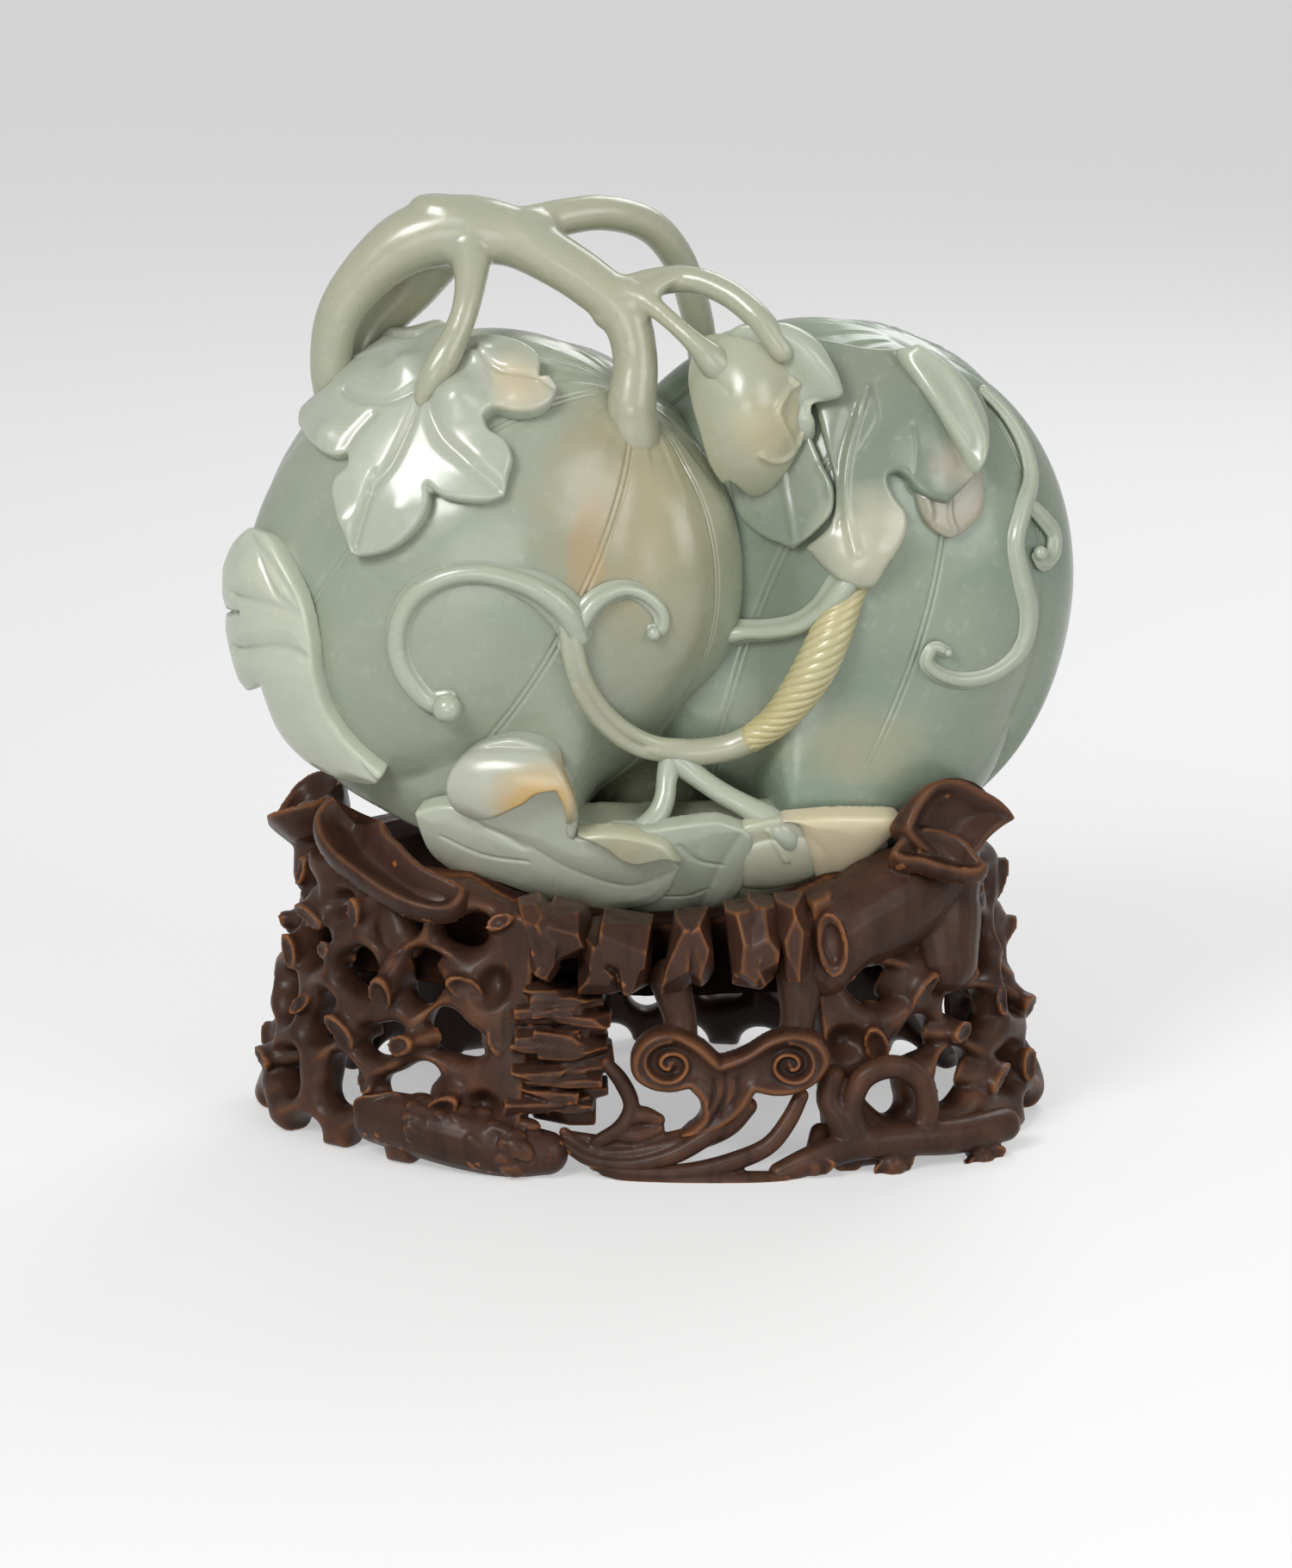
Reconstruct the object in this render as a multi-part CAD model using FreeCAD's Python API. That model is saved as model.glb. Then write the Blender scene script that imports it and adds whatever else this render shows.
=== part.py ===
import FreeCAD, Part
import os
from math import cos, degrees, hypot, pi, radians, sin, sqrt

# Two melons on a vine with leaves and tendrils, carved from one jade, lifting off a fitted wood stand.
# Millimetres. X runs to the right and Y to the back as seen from the front, Z up.
# The origin is the middle of the stand's footprint, on the surface it stands on.

Vector = FreeCAD.Vector

# Stand
BASE_HALF_WIDTH = 84.0
BASE_HALF_DEPTH = 52.0
STAND_HEIGHT = 70.0
STAND_WAIST_SHARE = 0.93
STAND_TOP_SHARE = 0.85
WALL_HEIGHT = 58.0
WALL_THICKNESS = 9.0
SADDLE_RADIUS = 80.0
SADDLE_HEIGHT = 49.0
CRADLE_THICKNESS = 14.0
HOLE_HALF_WIDTH = 5.6
HOLE_HALF_HEIGHT = 4.4
HOLE_RIM = 2.8
FOOT_ARCH_HALF_WIDTH = 5.5
FOOT_ARCH_HEIGHT = 4.5
STUB_RADIUS = 3.2
STUB_LENGTH = 9.0

# Melons
SEAT_HEIGHT = 46.0
SEAT_CLEARANCE = 0.3
LEFT_X = -32.4
LEFT_Y = -2.0
LEFT_RISE = 68.1
LEFT_HALF_WIDTH = 50.3
LEFT_HALF_DEPTH = 33.0
LEFT_HALF_HEIGHT = 53.0
RIGHT_X = 36.4
RIGHT_Y = 8.0
RIGHT_RISE = 65.2
RIGHT_HALF_WIDTH = 52.0
RIGHT_HALF_DEPTH = 34.0
RIGHT_HALF_HEIGHT = 56.5
MELON_LOBES = 6
GROOVE_SHARE = 0.022
LEFT_TILT_DEGREES = 33
RIGHT_TILT_DEGREES = 8
BED_X = 6.0
BED_Y = -8.0
BED_HALF_WIDTH = 80.0
BED_HALF_DEPTH = 32.0
BED_HALF_HEIGHT = 75.0
BED_TOP_SHARE = -0.74

# Vine, tendrils and leaves
VINE_RADIUS = 8.0
LOOP_RADIUS = 3.6
BRANCH_RADIUS = 2.9
PETIOLE_RADIUS = 3.4
STEM_RADIUS = 3.0
TWIST_RADIUS = 4.0
TENDRIL_RADIUS = 2.0
UPPER_LEAF_THICKNESS = 3.6
LEAF_THICKNESS = 3.0
EDGE_LEAF_THICKNESS = 4.6
LEAF_BULGE_SHARE = 0.1

# Fungus, trunk, rock and scrolls of the stand
TRUNK_RADIUS = 13.0
LOG_RADIUS = 6.2
ROOT_RADIUS = 4.6
TAIL_RADIUS = 3.4
POST_RADIUS = 4.6
CUP_RIM = 2.6
ROCK_DEPTH = 13.0
ROCK_HEIGHT = 14.0
COLUMN_HALF_WIDTH = 11.5
COLUMN_DEPTH = 12.0
RUYI_HALF_WIDTH = 20.5
RUYI_HEIGHT = 20.0
RUYI_THICKNESS = 8.0
SCROLL_RADIUS = 7.0
SCROLL_DEPTH = 2.2
SCROLL_RIDGE_RADIUS = 1.1

OVERRUN = 60.0
SMALLEST_PIECE_SHARE = 0.04
WEDGE_REACH = 3
FLATNESS_SHARE = 1e-9

# Facets of the rounded forms
FACETS_PER_LOBE = 4
MELON_ROWS = 12
POLAR_SHARE = 0.94
TUBE_SIDES = 8
LUMP_ROWS = 6
TWIST_CORNERS = 8
TWIST_RINGS = 18
ARC_SIDES = 3
WALL_SIDES = 36
SADDLE_SIDES = 18
SCROLL_SIDES = 10
SCROLL_STEPS = 9
OVAL_STEPS = 720
CUP_SIDES = 12
# Half of a rib's outline over the face it lies on, as shares of its radius
RIB_SHARES = [(1, -0.3), (0.9, 0.6), (0.4, 1.1), (-0.4, 1.1), (-0.9, 0.6), (-1, -0.3)]
# The rope: turn from ring to ring in corners, and how far its valleys lie from its middle
TWIST_STEP_SHARE = 0.4
TWIST_VALLEY_SHARE = 0.8
# A cap's outline from its foot over the rim into the hollow: height share, size share, rims inward
CUP_PROFILE_SHARES = [
    (-1, 0.5, 0), (-0.5, 0.85, 0), (0.3, 1, 0), (0.45, 0.97, 0.5), (0.3, 0.94, 1), (-0.25, 0.6, 1),
]

FRONT = Vector(0, -1, 0)
BACK = Vector(0, 1, 0)
RIGHTWARD = Vector(1, 0, 0)
UP = Vector(0, 0, 1)


def faceted(rings):
    """A closed solid through rings of as many corners each, with flat sides and flat ends."""
    faces = [Part.Face(Part.makePolygon(ring + ring[:1])) for ring in (rings[0], rings[-1])]
    for lower, upper in zip(rings, rings[1:]):
        for number, corner in enumerate(lower):
            following = (number + 1) % len(lower)
            quad = [corner, lower[following], upper[following], upper[number]]
            normal = (quad[1] - corner).cross(quad[2] - corner)
            rise = quad[3] - corner
            flat = abs(normal.dot(rise)) <= FLATNESS_SHARE * normal.Length * rise.Length
            for outline in [quad] if flat else [quad[:3], [corner] + quad[2:]]:
                faces.append(Part.Face(Part.makePolygon(outline + outline[:1])))
    solid = Part.Solid(Part.Shell(faces))
    return solid if solid.Volume > 0 else solid.reversed()


class Egg:
    """A melon form about a tilted axis, with places on it given as shares of its half sizes."""

    def __init__(self, centre, half, tilt_degrees):
        self.centre = centre
        self.half = half
        tilt = radians(tilt_degrees)
        self.axis = Vector(sin(tilt), 0, cos(tilt))
        self.side = Vector(cos(tilt), 0, -sin(tilt))

    def solid(self, grow=0, groove_share=0):
        """The form in flat facets, with a groove between each pair of lobes if asked."""
        rings = []
        meridians = MELON_LOBES * FACETS_PER_LOBE
        for row in range(MELON_ROWS + 1):
            rise = pi * (row / MELON_ROWS - 0.5) * POLAR_SHARE
            middle = self.centre + self.axis * ((self.half.z + grow) * sin(rise))
            ring = []
            for meridian in range(meridians):
                turn = 2 * pi * meridian / meridians
                share = cos(rise) * (1 - groove_share * (meridian % FACETS_PER_LOBE == 0))
                across = self.side * ((self.half.x + grow) * cos(turn) * share)
                ring.append(middle + across + Vector(0, (self.half.y + grow) * sin(turn) * share, 0))
            rings.append(ring)
        return faceted(rings)

    def place(self, x_share, y_share, z_share):
        return self.centre + Vector(self.half.x * x_share, self.half.y * y_share, self.half.z * z_share)

    def skin(self, x_share, z_share):
        """A place on the front face, and the outward direction there."""
        y_share = -sqrt(max(1 - x_share ** 2 - z_share ** 2, 0))
        normal = Vector(x_share / self.half.x, y_share / self.half.y, z_share / self.half.z)
        normal.normalize()
        return self.place(x_share, y_share, z_share), normal


LEFT = Egg(
    Vector(LEFT_X, LEFT_Y, SEAT_HEIGHT + LEFT_RISE),
    Vector(LEFT_HALF_WIDTH, LEFT_HALF_DEPTH, LEFT_HALF_HEIGHT),
    LEFT_TILT_DEGREES,
)
RIGHT = Egg(
    Vector(RIGHT_X, RIGHT_Y, SEAT_HEIGHT + RIGHT_RISE),
    Vector(RIGHT_HALF_WIDTH, RIGHT_HALF_DEPTH, RIGHT_HALF_HEIGHT),
    RIGHT_TILT_DEGREES,
)
BED = Egg(
    Vector(BED_X, BED_Y, SEAT_HEIGHT + BED_HALF_HEIGHT),
    Vector(BED_HALF_WIDTH, BED_HALF_DEPTH, BED_HALF_HEIGHT),
    0,
)


def foremost(place):
    """The place on the melon that lies in front at the same height and width, and the outward direction."""
    spots = []
    for egg in (LEFT, RIGHT):
        x_share = (place.x - egg.centre.x) / egg.half.x
        z_share = (place.z - egg.centre.z) / egg.half.z
        if hypot(x_share, z_share) < 1:
            spots.append(egg.skin(x_share, z_share))
    return min(spots, key=lambda spot: spot[0].y)


def stand_place(x_share, y_share, z_share):
    """A place in the stand, as shares of its half width, half depth and height."""
    return Vector(BASE_HALF_WIDTH * x_share, BASE_HALF_DEPTH * y_share, STAND_HEIGHT * z_share)


def round_ring(middle, right, up, half_width, half_height, sides):
    """The corners of an oval outline, anticlockwise from the right."""
    turns = [2 * pi * number / sides for number in range(sides)]
    return [middle + right * (half_width * cos(turn)) + up * (half_height * sin(turn)) for turn in turns]


def directions(points):
    """The direction of travel at each place of a path."""
    last = len(points) - 1
    found = [points[min(number + 1, last)] - points[max(number - 1, 0)] for number in range(last + 1)]
    return [direction.normalize() for direction in found]


def tube(points, radii):
    """A round tapering branch through places that change radius along the way."""
    rings = []
    for point, along, radius in zip(points, directions(points), radii):
        right = FRONT.cross(along).normalize()
        rings.append(round_ring(point, right, along.cross(right), radius, radius, TUBE_SIDES))
    return faceted(rings)


def branch(egg, table_shares, radius):
    """A tube through places of an egg, each row holding three place shares and a radius share."""
    points = [egg.place(*row[:-1]) for row in table_shares]
    return tube(points, [radius * row[-1] for row in table_shares])


def tendril(spots, radii):
    """A rounded rib that lies along spots of a face, each spot a place and its outward direction."""
    rings = []
    for (point, normal), along, radius in zip(spots, directions([spot[0] for spot in spots]), radii):
        right = normal.cross(along).normalize()
        rings.append([point + right * (x * radius) + normal * (z * radius) for x, z in RIB_SHARES])
    return faceted(rings)


def rib(egg, table_shares, radius):
    """A tendril on the front of an egg, each row holding two place shares and a radius share."""
    spots = [egg.skin(x_share, z_share) for x_share, z_share, _ in table_shares]
    return tendril(spots, [radius * row[-1] for row in table_shares])


def along_table(table_shares, share):
    """The row at a share of the way through a table, between two of its rows."""
    spot = share * (len(table_shares) - 1)
    number = min(int(spot), len(table_shares) - 2)
    rows = zip(table_shares[number], table_shares[number + 1])
    return [low + (high - low) * (spot - number) for low, high in rows]


def twisted(egg, table_shares, radius):
    """A rope on the front of an egg whose ridges turn about it, each row as for a rib."""
    rows = [along_table(table_shares, ring / (TWIST_RINGS - 1)) for ring in range(TWIST_RINGS)]
    spots = [egg.skin(x_share, z_share) for x_share, z_share, _ in rows]
    alongs = directions([point for point, _ in spots])
    rings = []
    for number, ((point, normal), along, row) in enumerate(zip(spots, alongs, rows)):
        right = normal.cross(along).normalize()
        outward = along.cross(right)
        ring = []
        for corner in range(TWIST_CORNERS):
            turn = 2 * pi * (corner + number * TWIST_STEP_SHARE) / TWIST_CORNERS
            reach = radius * row[-1] * (1 if corner % 2 else TWIST_VALLEY_SHARE)
            ring.append(point + right * (reach * cos(turn)) + outward * (reach * sin(turn)))
        rings.append(ring)
    return faceted(rings)


def lobed_outline(points, bulge_share):
    """Corners of an outline with one more, pushed outward, between each pair of neighbours."""
    corners = []
    for start, end in zip(points, points[1:] + points[:1]):
        chord = end - start
        corners += [start, (start + end) * 0.5 + Vector(-chord.z, 0, chord.x) * bulge_share]
    return corners


def leaf(egg, outline_shares, thickness, clearance=0):
    """A leaf laid over the front of an egg, its outline running clockwise as seen from the front."""
    places = [egg.place(x_share, 0, z_share) for x_share, z_share in outline_shares]
    plane = FRONT * (egg.half.y + OVERRUN)
    corners = [place + plane for place in lobed_outline(places, LEAF_BULGE_SHARE)]
    outline = Part.Face(Part.makePolygon(corners + corners[:1]))
    if clearance:
        outline = outline.makeOffset2D(clearance, join=2)
    return outline.extrude(plane * -1).common(egg.solid(thickness + clearance))


def lump(origin, along, facing, half_length, half_width, half_height):
    """A turned egg form, for a bud, a fold or a swelling."""
    across = facing.cross(along).normalize()
    upward = along.cross(across).normalize()
    forward = across.cross(upward)
    rings = []
    for row in range(LUMP_ROWS + 1):
        rise = pi * (row / LUMP_ROWS - 0.5) * POLAR_SHARE
        middle = origin + forward * (half_length * sin(rise))
        share = cos(rise)
        rings.append(round_ring(middle, across, upward, half_width * share, half_height * share, TUBE_SIDES))
    return faceted(rings)


def cup(origin, along, facing, half_length, half_width, depth):
    """A shallow oval fungus cap, hollow on the side that it faces."""
    across = facing.cross(along).normalize()
    forward = across.cross(facing).normalize()
    rings = []
    for height_share, size_share, inset in CUP_PROFILE_SHARES:
        middle = origin + facing * (depth * height_share)
        half_sizes = [half * size_share - CUP_RIM * inset for half in (half_length, half_width)]
        rings.append(round_ring(middle, forward, across, *half_sizes, CUP_SIDES))
    return faceted(rings)


class Body:
    """The pieces of one rigid body; a later piece gives way to the earlier ones where they meet."""

    def __init__(self):
        self.pieces = {}

    def add(self, name, shape):
        for other in self.pieces.values():
            if shape.BoundBox.intersect(other.BoundBox):
                shape = shape.cut(other)
        solids = sorted(shape.Solids, key=lambda solid: solid.Volume)
        kept = [solid for solid in solids if solid.Volume > solids[-1].Volume * SMALLEST_PIECE_SHARE]
        self.pieces[name] = kept[0] if len(kept) == 1 else Part.Compound(kept)

    def export(self):
        for name, shape in self.pieces.items():
            shape.exportStep(f"parts/{name}.step")


# Leaf outlines, as shares of the egg's half width and half height
UPPER_LEAF_SHARES = [
    (-0.12, 0.99), (0.19, 0.96), (0.21, 0.88), (0.29, 0.82), (0.01, 0.75), (0.11, 0.57),
    (0.08, 0.47), (-0.12, 0.45), (-0.23, 0.49), (-0.23, 0.37), (-0.4, 0.23), (-0.54, 0.2), (-0.63, 0.45),
    (-0.57, 0.57), (-0.72, 0.6), (-0.78, 0.65), (-0.67, 0.78), (-0.56, 0.88), (-0.5, 1.03), (-0.29, 1.07),
]
EDGE_LEAF_SHARES = [
    (-1.05, 0.14), (-0.99, 0.27), (-0.9, 0.24), (-0.83, 0.13), (-0.72, -0.19), (-0.67, -0.4),
    (-0.46, -0.73), (-0.62, -0.76), (-0.8, -0.72), (-0.95, -0.44), (-1.06, -0.33), (-1.08, -0.13),
    (-1.09, 0.03),
]
LOWER_LEAF_SHARES = [
    (-0.38, 0.43), (-0.21, 0.53), (-0.05, 0.57), (0.02, 0.46), (0.01, 0.39), (-0.14, 0.24), (-0.27, 0.27),
    (-0.36, 0.34),
]
RIGHT_LEAF_SHARES = [
    (-0.12, 0.99), (0.03, 0.97), (0.42, 0.89), (0.62, 0.73), (0.63, 0.61), (0.58, 0.36), (0.47, 0.29),
    (0.38, 0.34), (0.28, 0.52), (0.23, 0.51), (0.3, 0.4), (0.28, 0.27), (0.17, 0.13), (0, 0.2), (0.01, 0.4),
    (-0.01, 0.74),
]
FOLD_SHARES = [
    (-0.32, 0.98), (-0.12, 1.02), (0.03, 0.92), (0.08, 0.78), (0.0, 0.72), (-0.14, 0.86),
]
BOTTOM_LEFT_LEAF_SHARES = [
    (-0.68, -0.69), (-0.57, -0.64), (-0.3, -0.55), (-0.19, -0.75), (0.02, -0.82), (-0.1, -0.93),
    (-0.3, -0.98), (-0.56, -0.89),
]
BOTTOM_MIDDLE_LEAF_SHARES = [
    (-0.01, -0.7), (0.1, -0.68), (0.19, -0.71), (0.18, -0.86), (0.08, -1.02), (-0.1, -1.02), (0, -0.84),
]
BOTTOM_RIGHT_LEAF_SHARES = [
    (0.3, -0.67), (0.57, -0.69), (0.49, -0.82), (0.41, -0.94), (0.35, -0.82),
]

# Branches, as place shares of the egg's half sizes and a share of the branch's radius
CROWN_SHARES = [
    (-0.5, -0.08, 1.23, 0.78), (-0.12, -0.08, 1.35, 0.98), (0.14, -0.16, 1.31, 0.8),
    (0.32, -0.22, 1.22, 0.68),
]
LEFT_ARM_SHARES = [
    (-0.62, 0.1, 0.66, 0.52), (-0.65, -0.04, 0.92, 0.56), (-0.58, -0.07, 1.1, 0.68),
    (-0.4, -0.08, 1.29, 0.84),
]
RIGHT_ARM_SHARES = [
    (0.24, -0.2, 1.27, 0.66), (0.47, -0.28, 1.15, 0.62), (0.59, -0.31, 1, 0.59), (0.6, -0.34, 0.72, 0.62),
]
BACK_STRAND_SHARES = [
    (-0.2, 0.18, 1.24, 0.6), (-0.35, 0.3, 1.08, 0.62), (-0.51, 0.34, 0.94, 0.62), (-0.57, 0.32, 0.76, 0.62),
]
LOOP_FRONT_SHARES = [
    (0.2, -0.06, 1.36, 1), (0.45, 0.18, 1.41, 1), (0.69, 0.36, 1.31, 0.97), (0.83, 0.54, 1.12, 0.9),
]
LOOP_BACK_SHARES = [
    (0.79, 0.48, 1.17, 0.92), (0.87, 0.67, 0.85, 0.86), (0.88, 0.72, 0.58, 0.83),
]
RIGHT_BRANCH_SHARES = [
    (0.55, -0.27, 1.13, 1.05), (0.74, -0.24, 1.19, 1), (0.93, -0.36, 1.17, 0.98), (1.06, -0.48, 1.09, 0.95),
    (1.15, -0.56, 0.95, 0.9),
]
LEFT_PETIOLE_SHARES = [
    (-0.07, -0.2, 1.27, 1.1), (-0.07, -0.42, 1.16, 0.85), (-0.11, -0.55, 1.02, 0.8),
    (-0.17, -0.62, 0.88, 0.85),
]
MIDDLE_PETIOLE_SHARES = [
    (0.62, -0.33, 1.14, 0.5), (0.76, -0.55, 1.06, 0.52), (0.89, -0.76, 1, 0.66),
]
KNOB_SHARES = (-0.13, -0.05, 1.43)

# Tendrils and stems, as place shares on the egg's face and a share of the tendril's radius
LARGE_SCROLL_SHARES = [
    (0.34, -0.05, 1.2), (0.26, 0.07, 1.1), (0.12, 0.13, 1), (-0.06, 0.15, 1), (-0.22, 0.1, 1),
    (-0.32, -0.02, 1), (-0.36, -0.17, 1), (-0.3, -0.31, 1), (-0.19, -0.38, 1.1), (-0.11, -0.35, 1.3),
]
SMALL_SCROLL_SHARES = [
    (0.35, -0.09, 1), (0.41, 0.01, 0.9), (0.52, 0.06, 0.8), (0.62, 0.05, 0.8), (0.69, -0.01, 0.8),
    (0.69, -0.08, 0.9), (0.64, -0.1, 1),
]
LEFT_STEM_SHARES = [
    (0.34, -0.05, 0.8), (0.37, -0.21, 0.85), (0.45, -0.39, 0.95), (0.6, -0.56, 1.1),
]
TWISTED_STEM_SHARES = [
    (-0.33, -0.48, 0.75), (-0.19, -0.39, 0.9), (-0.06, -0.24, 1.1), (0.02, -0.07, 1.1), (0.09, 0.09, 0.95),
    (0.13, 0.17, 0.85),
]
LOW_STEM_SHARES = [
    (-0.62, -0.55, 1.05), (-0.46, -0.53, 1.05), (-0.33, -0.48, 1),
]
CROSS_STEM_SHARES = [
    (-0.35, -0.09, 0.7), (-0.22, -0.08, 0.6), (-0.07, -0.01, 0.65), (0.04, 0.09, 0.7),
]
RIGHT_TENDRIL_SHARES = [
    (0.64, 0.72, 0.8), (0.75, 0.58, 0.85), (0.79, 0.45, 0.9), (0.74, 0.27, 0.95), (0.76, 0.09, 1),
    (0.79, -0.03, 1), (0.75, -0.16, 1), (0.66, -0.23, 1), (0.53, -0.26, 0.9), (0.42, -0.22, 0.8),
    (0.37, -0.16, 0.8),
]
RIGHT_CURL_SHARES = [
    (0.81, 0.31, 1), (0.88, 0.24, 1), (0.89, 0.16, 0.9), (0.83, 0.14, 0.9),
]
LEFT_FORK_SHARES = [
    (-0.04, -0.42, -0.56, 0.8), (-0.03, -0.55, -0.64, 0.6), (-0.13, -0.68, -0.73, 0.7),
]
RIGHT_FORK_SHARES = [
    (0.02, -0.42, -0.57, 0.8), (0.1, -0.56, -0.65, 0.75), (0.23, -0.68, -0.715, 0.85),
]
BOTTOM_STUB_SHARES = [
    (0.14, -0.68, -0.8, 1.9), (0.25, -0.66, -0.8, 2.1), (0.36, -0.62, -0.78, 2.2),
]


def carve_jade():
    """The melons, vine, leaves and tendrils, which are one carved stone."""
    jade = Body()
    jade.add("melon_left", LEFT.solid(groove_share=GROOVE_SHARE))
    jade.add("melon_right", RIGHT.solid(groove_share=GROOVE_SHARE))
    carve_leaves(jade)
    carve_bottom(jade)
    carve_vine(jade)
    carve_tendrils(jade)
    return jade


def carve_leaves(jade):
    """The leaves laid over the faces of the melons."""
    jade.add("leaf_upper_left", leaf(LEFT, UPPER_LEAF_SHARES, UPPER_LEAF_THICKNESS))
    jade.add("leaf_left_edge", leaf(LEFT, EDGE_LEAF_SHARES, EDGE_LEAF_THICKNESS))
    bud = lump(RIGHT.place(-0.29, -0.72, 0.68), Vector(-0.15, 0, -1), FRONT, RIGHT_HALF_HEIGHT * 0.33,
               RIGHT_HALF_WIDTH * 0.24, RIGHT_HALF_DEPTH * 0.3)
    jade.add("leaf_middle_curled", bud)
    jade.add("leaf_middle_fold", leaf(RIGHT, FOLD_SHARES, EDGE_LEAF_THICKNESS))
    curl = lump(RIGHT.place(0.5, -0.5, 0.68), Vector(0.35, 0, -1), FRONT, RIGHT_HALF_HEIGHT * 0.29,
                RIGHT_HALF_WIDTH * 0.11, RIGHT_HALF_DEPTH * 0.26)
    jade.add("leaf_right_curl", curl)
    jade.add("leaf_right", leaf(RIGHT, RIGHT_LEAF_SHARES, LEAF_THICKNESS))
    jade.add("leaf_middle_lower", leaf(RIGHT, LOWER_LEAF_SHARES, LEAF_THICKNESS))


def carve_bottom(jade):
    """The leaves and stems that wrap the underside, and the mass of leaves under the melons."""
    curl = lump(BED.place(-0.4, -0.72, -0.54), Vector(1, 0, 0.1), FRONT, BED_HALF_WIDTH * 0.16,
                BED_HALF_HEIGHT * 0.1, BED_HALF_DEPTH * 0.26)
    jade.add("leaf_bottom_left_curl", curl)
    jade.add("leaf_bottom_left", leaf(BED, BOTTOM_LEFT_LEAF_SHARES, 0))
    jade.add("leaf_bottom_middle", leaf(BED, BOTTOM_MIDDLE_LEAF_SHARES, 0))
    jade.add("leaf_bottom_right", leaf(BED, BOTTOM_RIGHT_LEAF_SHARES, 0))
    stub = branch(BED, BOTTOM_STUB_SHARES, STEM_RADIUS)
    jade.add("stub_bottom", stub.common(BED.solid()))
    jade.add("fork_left", branch(BED, LEFT_FORK_SHARES, STEM_RADIUS))
    jade.add("fork_right", branch(BED, RIGHT_FORK_SHARES, STEM_RADIUS))
    behind = lump(BED.place(-0.06, 0.35, -0.62), UP, FRONT, BED_HALF_HEIGHT * 0.24, BED_HALF_WIDTH * 0.2,
                  BED_HALF_DEPTH * 0.5)
    jade.add("leaf_behind_fork", behind)
    low = BED.place(-1, -1, -1)
    slab = Part.makeBox(BED_HALF_WIDTH * 2, BED_HALF_DEPTH * 2, BED_HALF_HEIGHT * (1 + BED_TOP_SHARE), low)
    jade.add("leaf_bed", BED.solid().common(slab))


def carve_vine(jade):
    """The vine that arches over the left melon, with its loop, branches and leaf stalks."""
    jade.add("vine_crown", branch(LEFT, CROWN_SHARES, VINE_RADIUS))
    jade.add("vine_left_arm", branch(LEFT, LEFT_ARM_SHARES, VINE_RADIUS))
    jade.add("vine_right_arm", branch(LEFT, RIGHT_ARM_SHARES, VINE_RADIUS))
    jade.add("vine_back_strand", branch(LEFT, BACK_STRAND_SHARES, VINE_RADIUS))
    knob = lump(LEFT.place(*KNOB_SHARES), Vector(1, 0, -0.15), UP, VINE_RADIUS, VINE_RADIUS * 0.8,
                VINE_RADIUS * 0.5)
    jade.add("vine_knob", knob)
    jade.add("vine_loop_front", branch(LEFT, LOOP_FRONT_SHARES, LOOP_RADIUS))
    jade.add("vine_loop_back", branch(LEFT, LOOP_BACK_SHARES, LOOP_RADIUS))
    jade.add("vine_right_branch", branch(LEFT, RIGHT_BRANCH_SHARES, BRANCH_RADIUS))
    jade.add("petiole_left", branch(LEFT, LEFT_PETIOLE_SHARES, PETIOLE_RADIUS))
    jade.add("petiole_middle", branch(LEFT, MIDDLE_PETIOLE_SHARES, PETIOLE_RADIUS))


def carve_tendrils(jade):
    """The tendrils and stems that curl over the faces of the melons."""
    jade.add("stem_twisted", twisted(RIGHT, TWISTED_STEM_SHARES, TWIST_RADIUS))
    left = [LEFT.skin(x_share, z_share)[0] for x_share, z_share, _ in LEFT_STEM_SHARES]
    low = [RIGHT.skin(x_share, z_share)[0] for x_share, z_share, _ in LOW_STEM_SHARES]
    radii = [STEM_RADIUS * row[-1] for row in LEFT_STEM_SHARES + LOW_STEM_SHARES]
    jade.add("stem_main", tendril([foremost(place) for place in left + low], radii))
    jade.add("stem_cross", rib(RIGHT, CROSS_STEM_SHARES, STEM_RADIUS))
    jade.add("tendril_large_scroll", rib(LEFT, LARGE_SCROLL_SHARES, TENDRIL_RADIUS))
    jade.add("tendril_small_scroll", rib(LEFT, SMALL_SCROLL_SHARES, TENDRIL_RADIUS))
    jade.add("tendril_right", rib(RIGHT, RIGHT_TENDRIL_SHARES, TENDRIL_RADIUS))
    jade.add("tendril_right_curl", rib(RIGHT, RIGHT_CURL_SHARES, TENDRIL_RADIUS))


# Openwork, in degrees round the stand and shares of the wall's height
HOLE_COLUMNS = 24
WALL_RING_SHARES = (0, 0.5, 1)
STUB_RISE_SHARE = 0.3
STUB_SIDES = 6
# Rows of holes and of stubs: offset in columns, and share of the wall's height
HOLE_ROW_SHARES = [(0, 0.24), (0.5, 0.45), (0, 0.66), (0.5, 0.86)]
STUB_ROW_SHARES = [(0.5, 0.26), (1, 0.45), (2.5, 0.66)]
# Sizes that the holes take in turn, and how far each lies above or below its row
HOLE_SIZE_SHARES = (1, 0.8, 1.1, 0.9, 1.05)
HOLE_SHIFT_SHARES = (0, 0.3, -0.2, -0.4, 0.2, 0.4, -0.3)
# A hole's corners, as shares of its half width and half height
HOLE_CORNER_SHARES = [(-1, -0.2), (-0.5, -0.95), (0.6, -0.9), (1, 0.2), (0.4, 1), (-0.7, 0.8)]
WALL_DEGREES = {"openwork_left": (126, 251), "openwork_right": (-62, 54), "openwork_back": (54, 126)}


def ring_share(height_share):
    """The share of the base's half sizes that the wall keeps at a share of its height."""
    waist = 1 + (STAND_WAIST_SHARE - 1) * min(height_share * 2, 1)
    return waist + (STAND_TOP_SHARE - STAND_WAIST_SHARE) * max(height_share * 2 - 1, 0)


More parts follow.
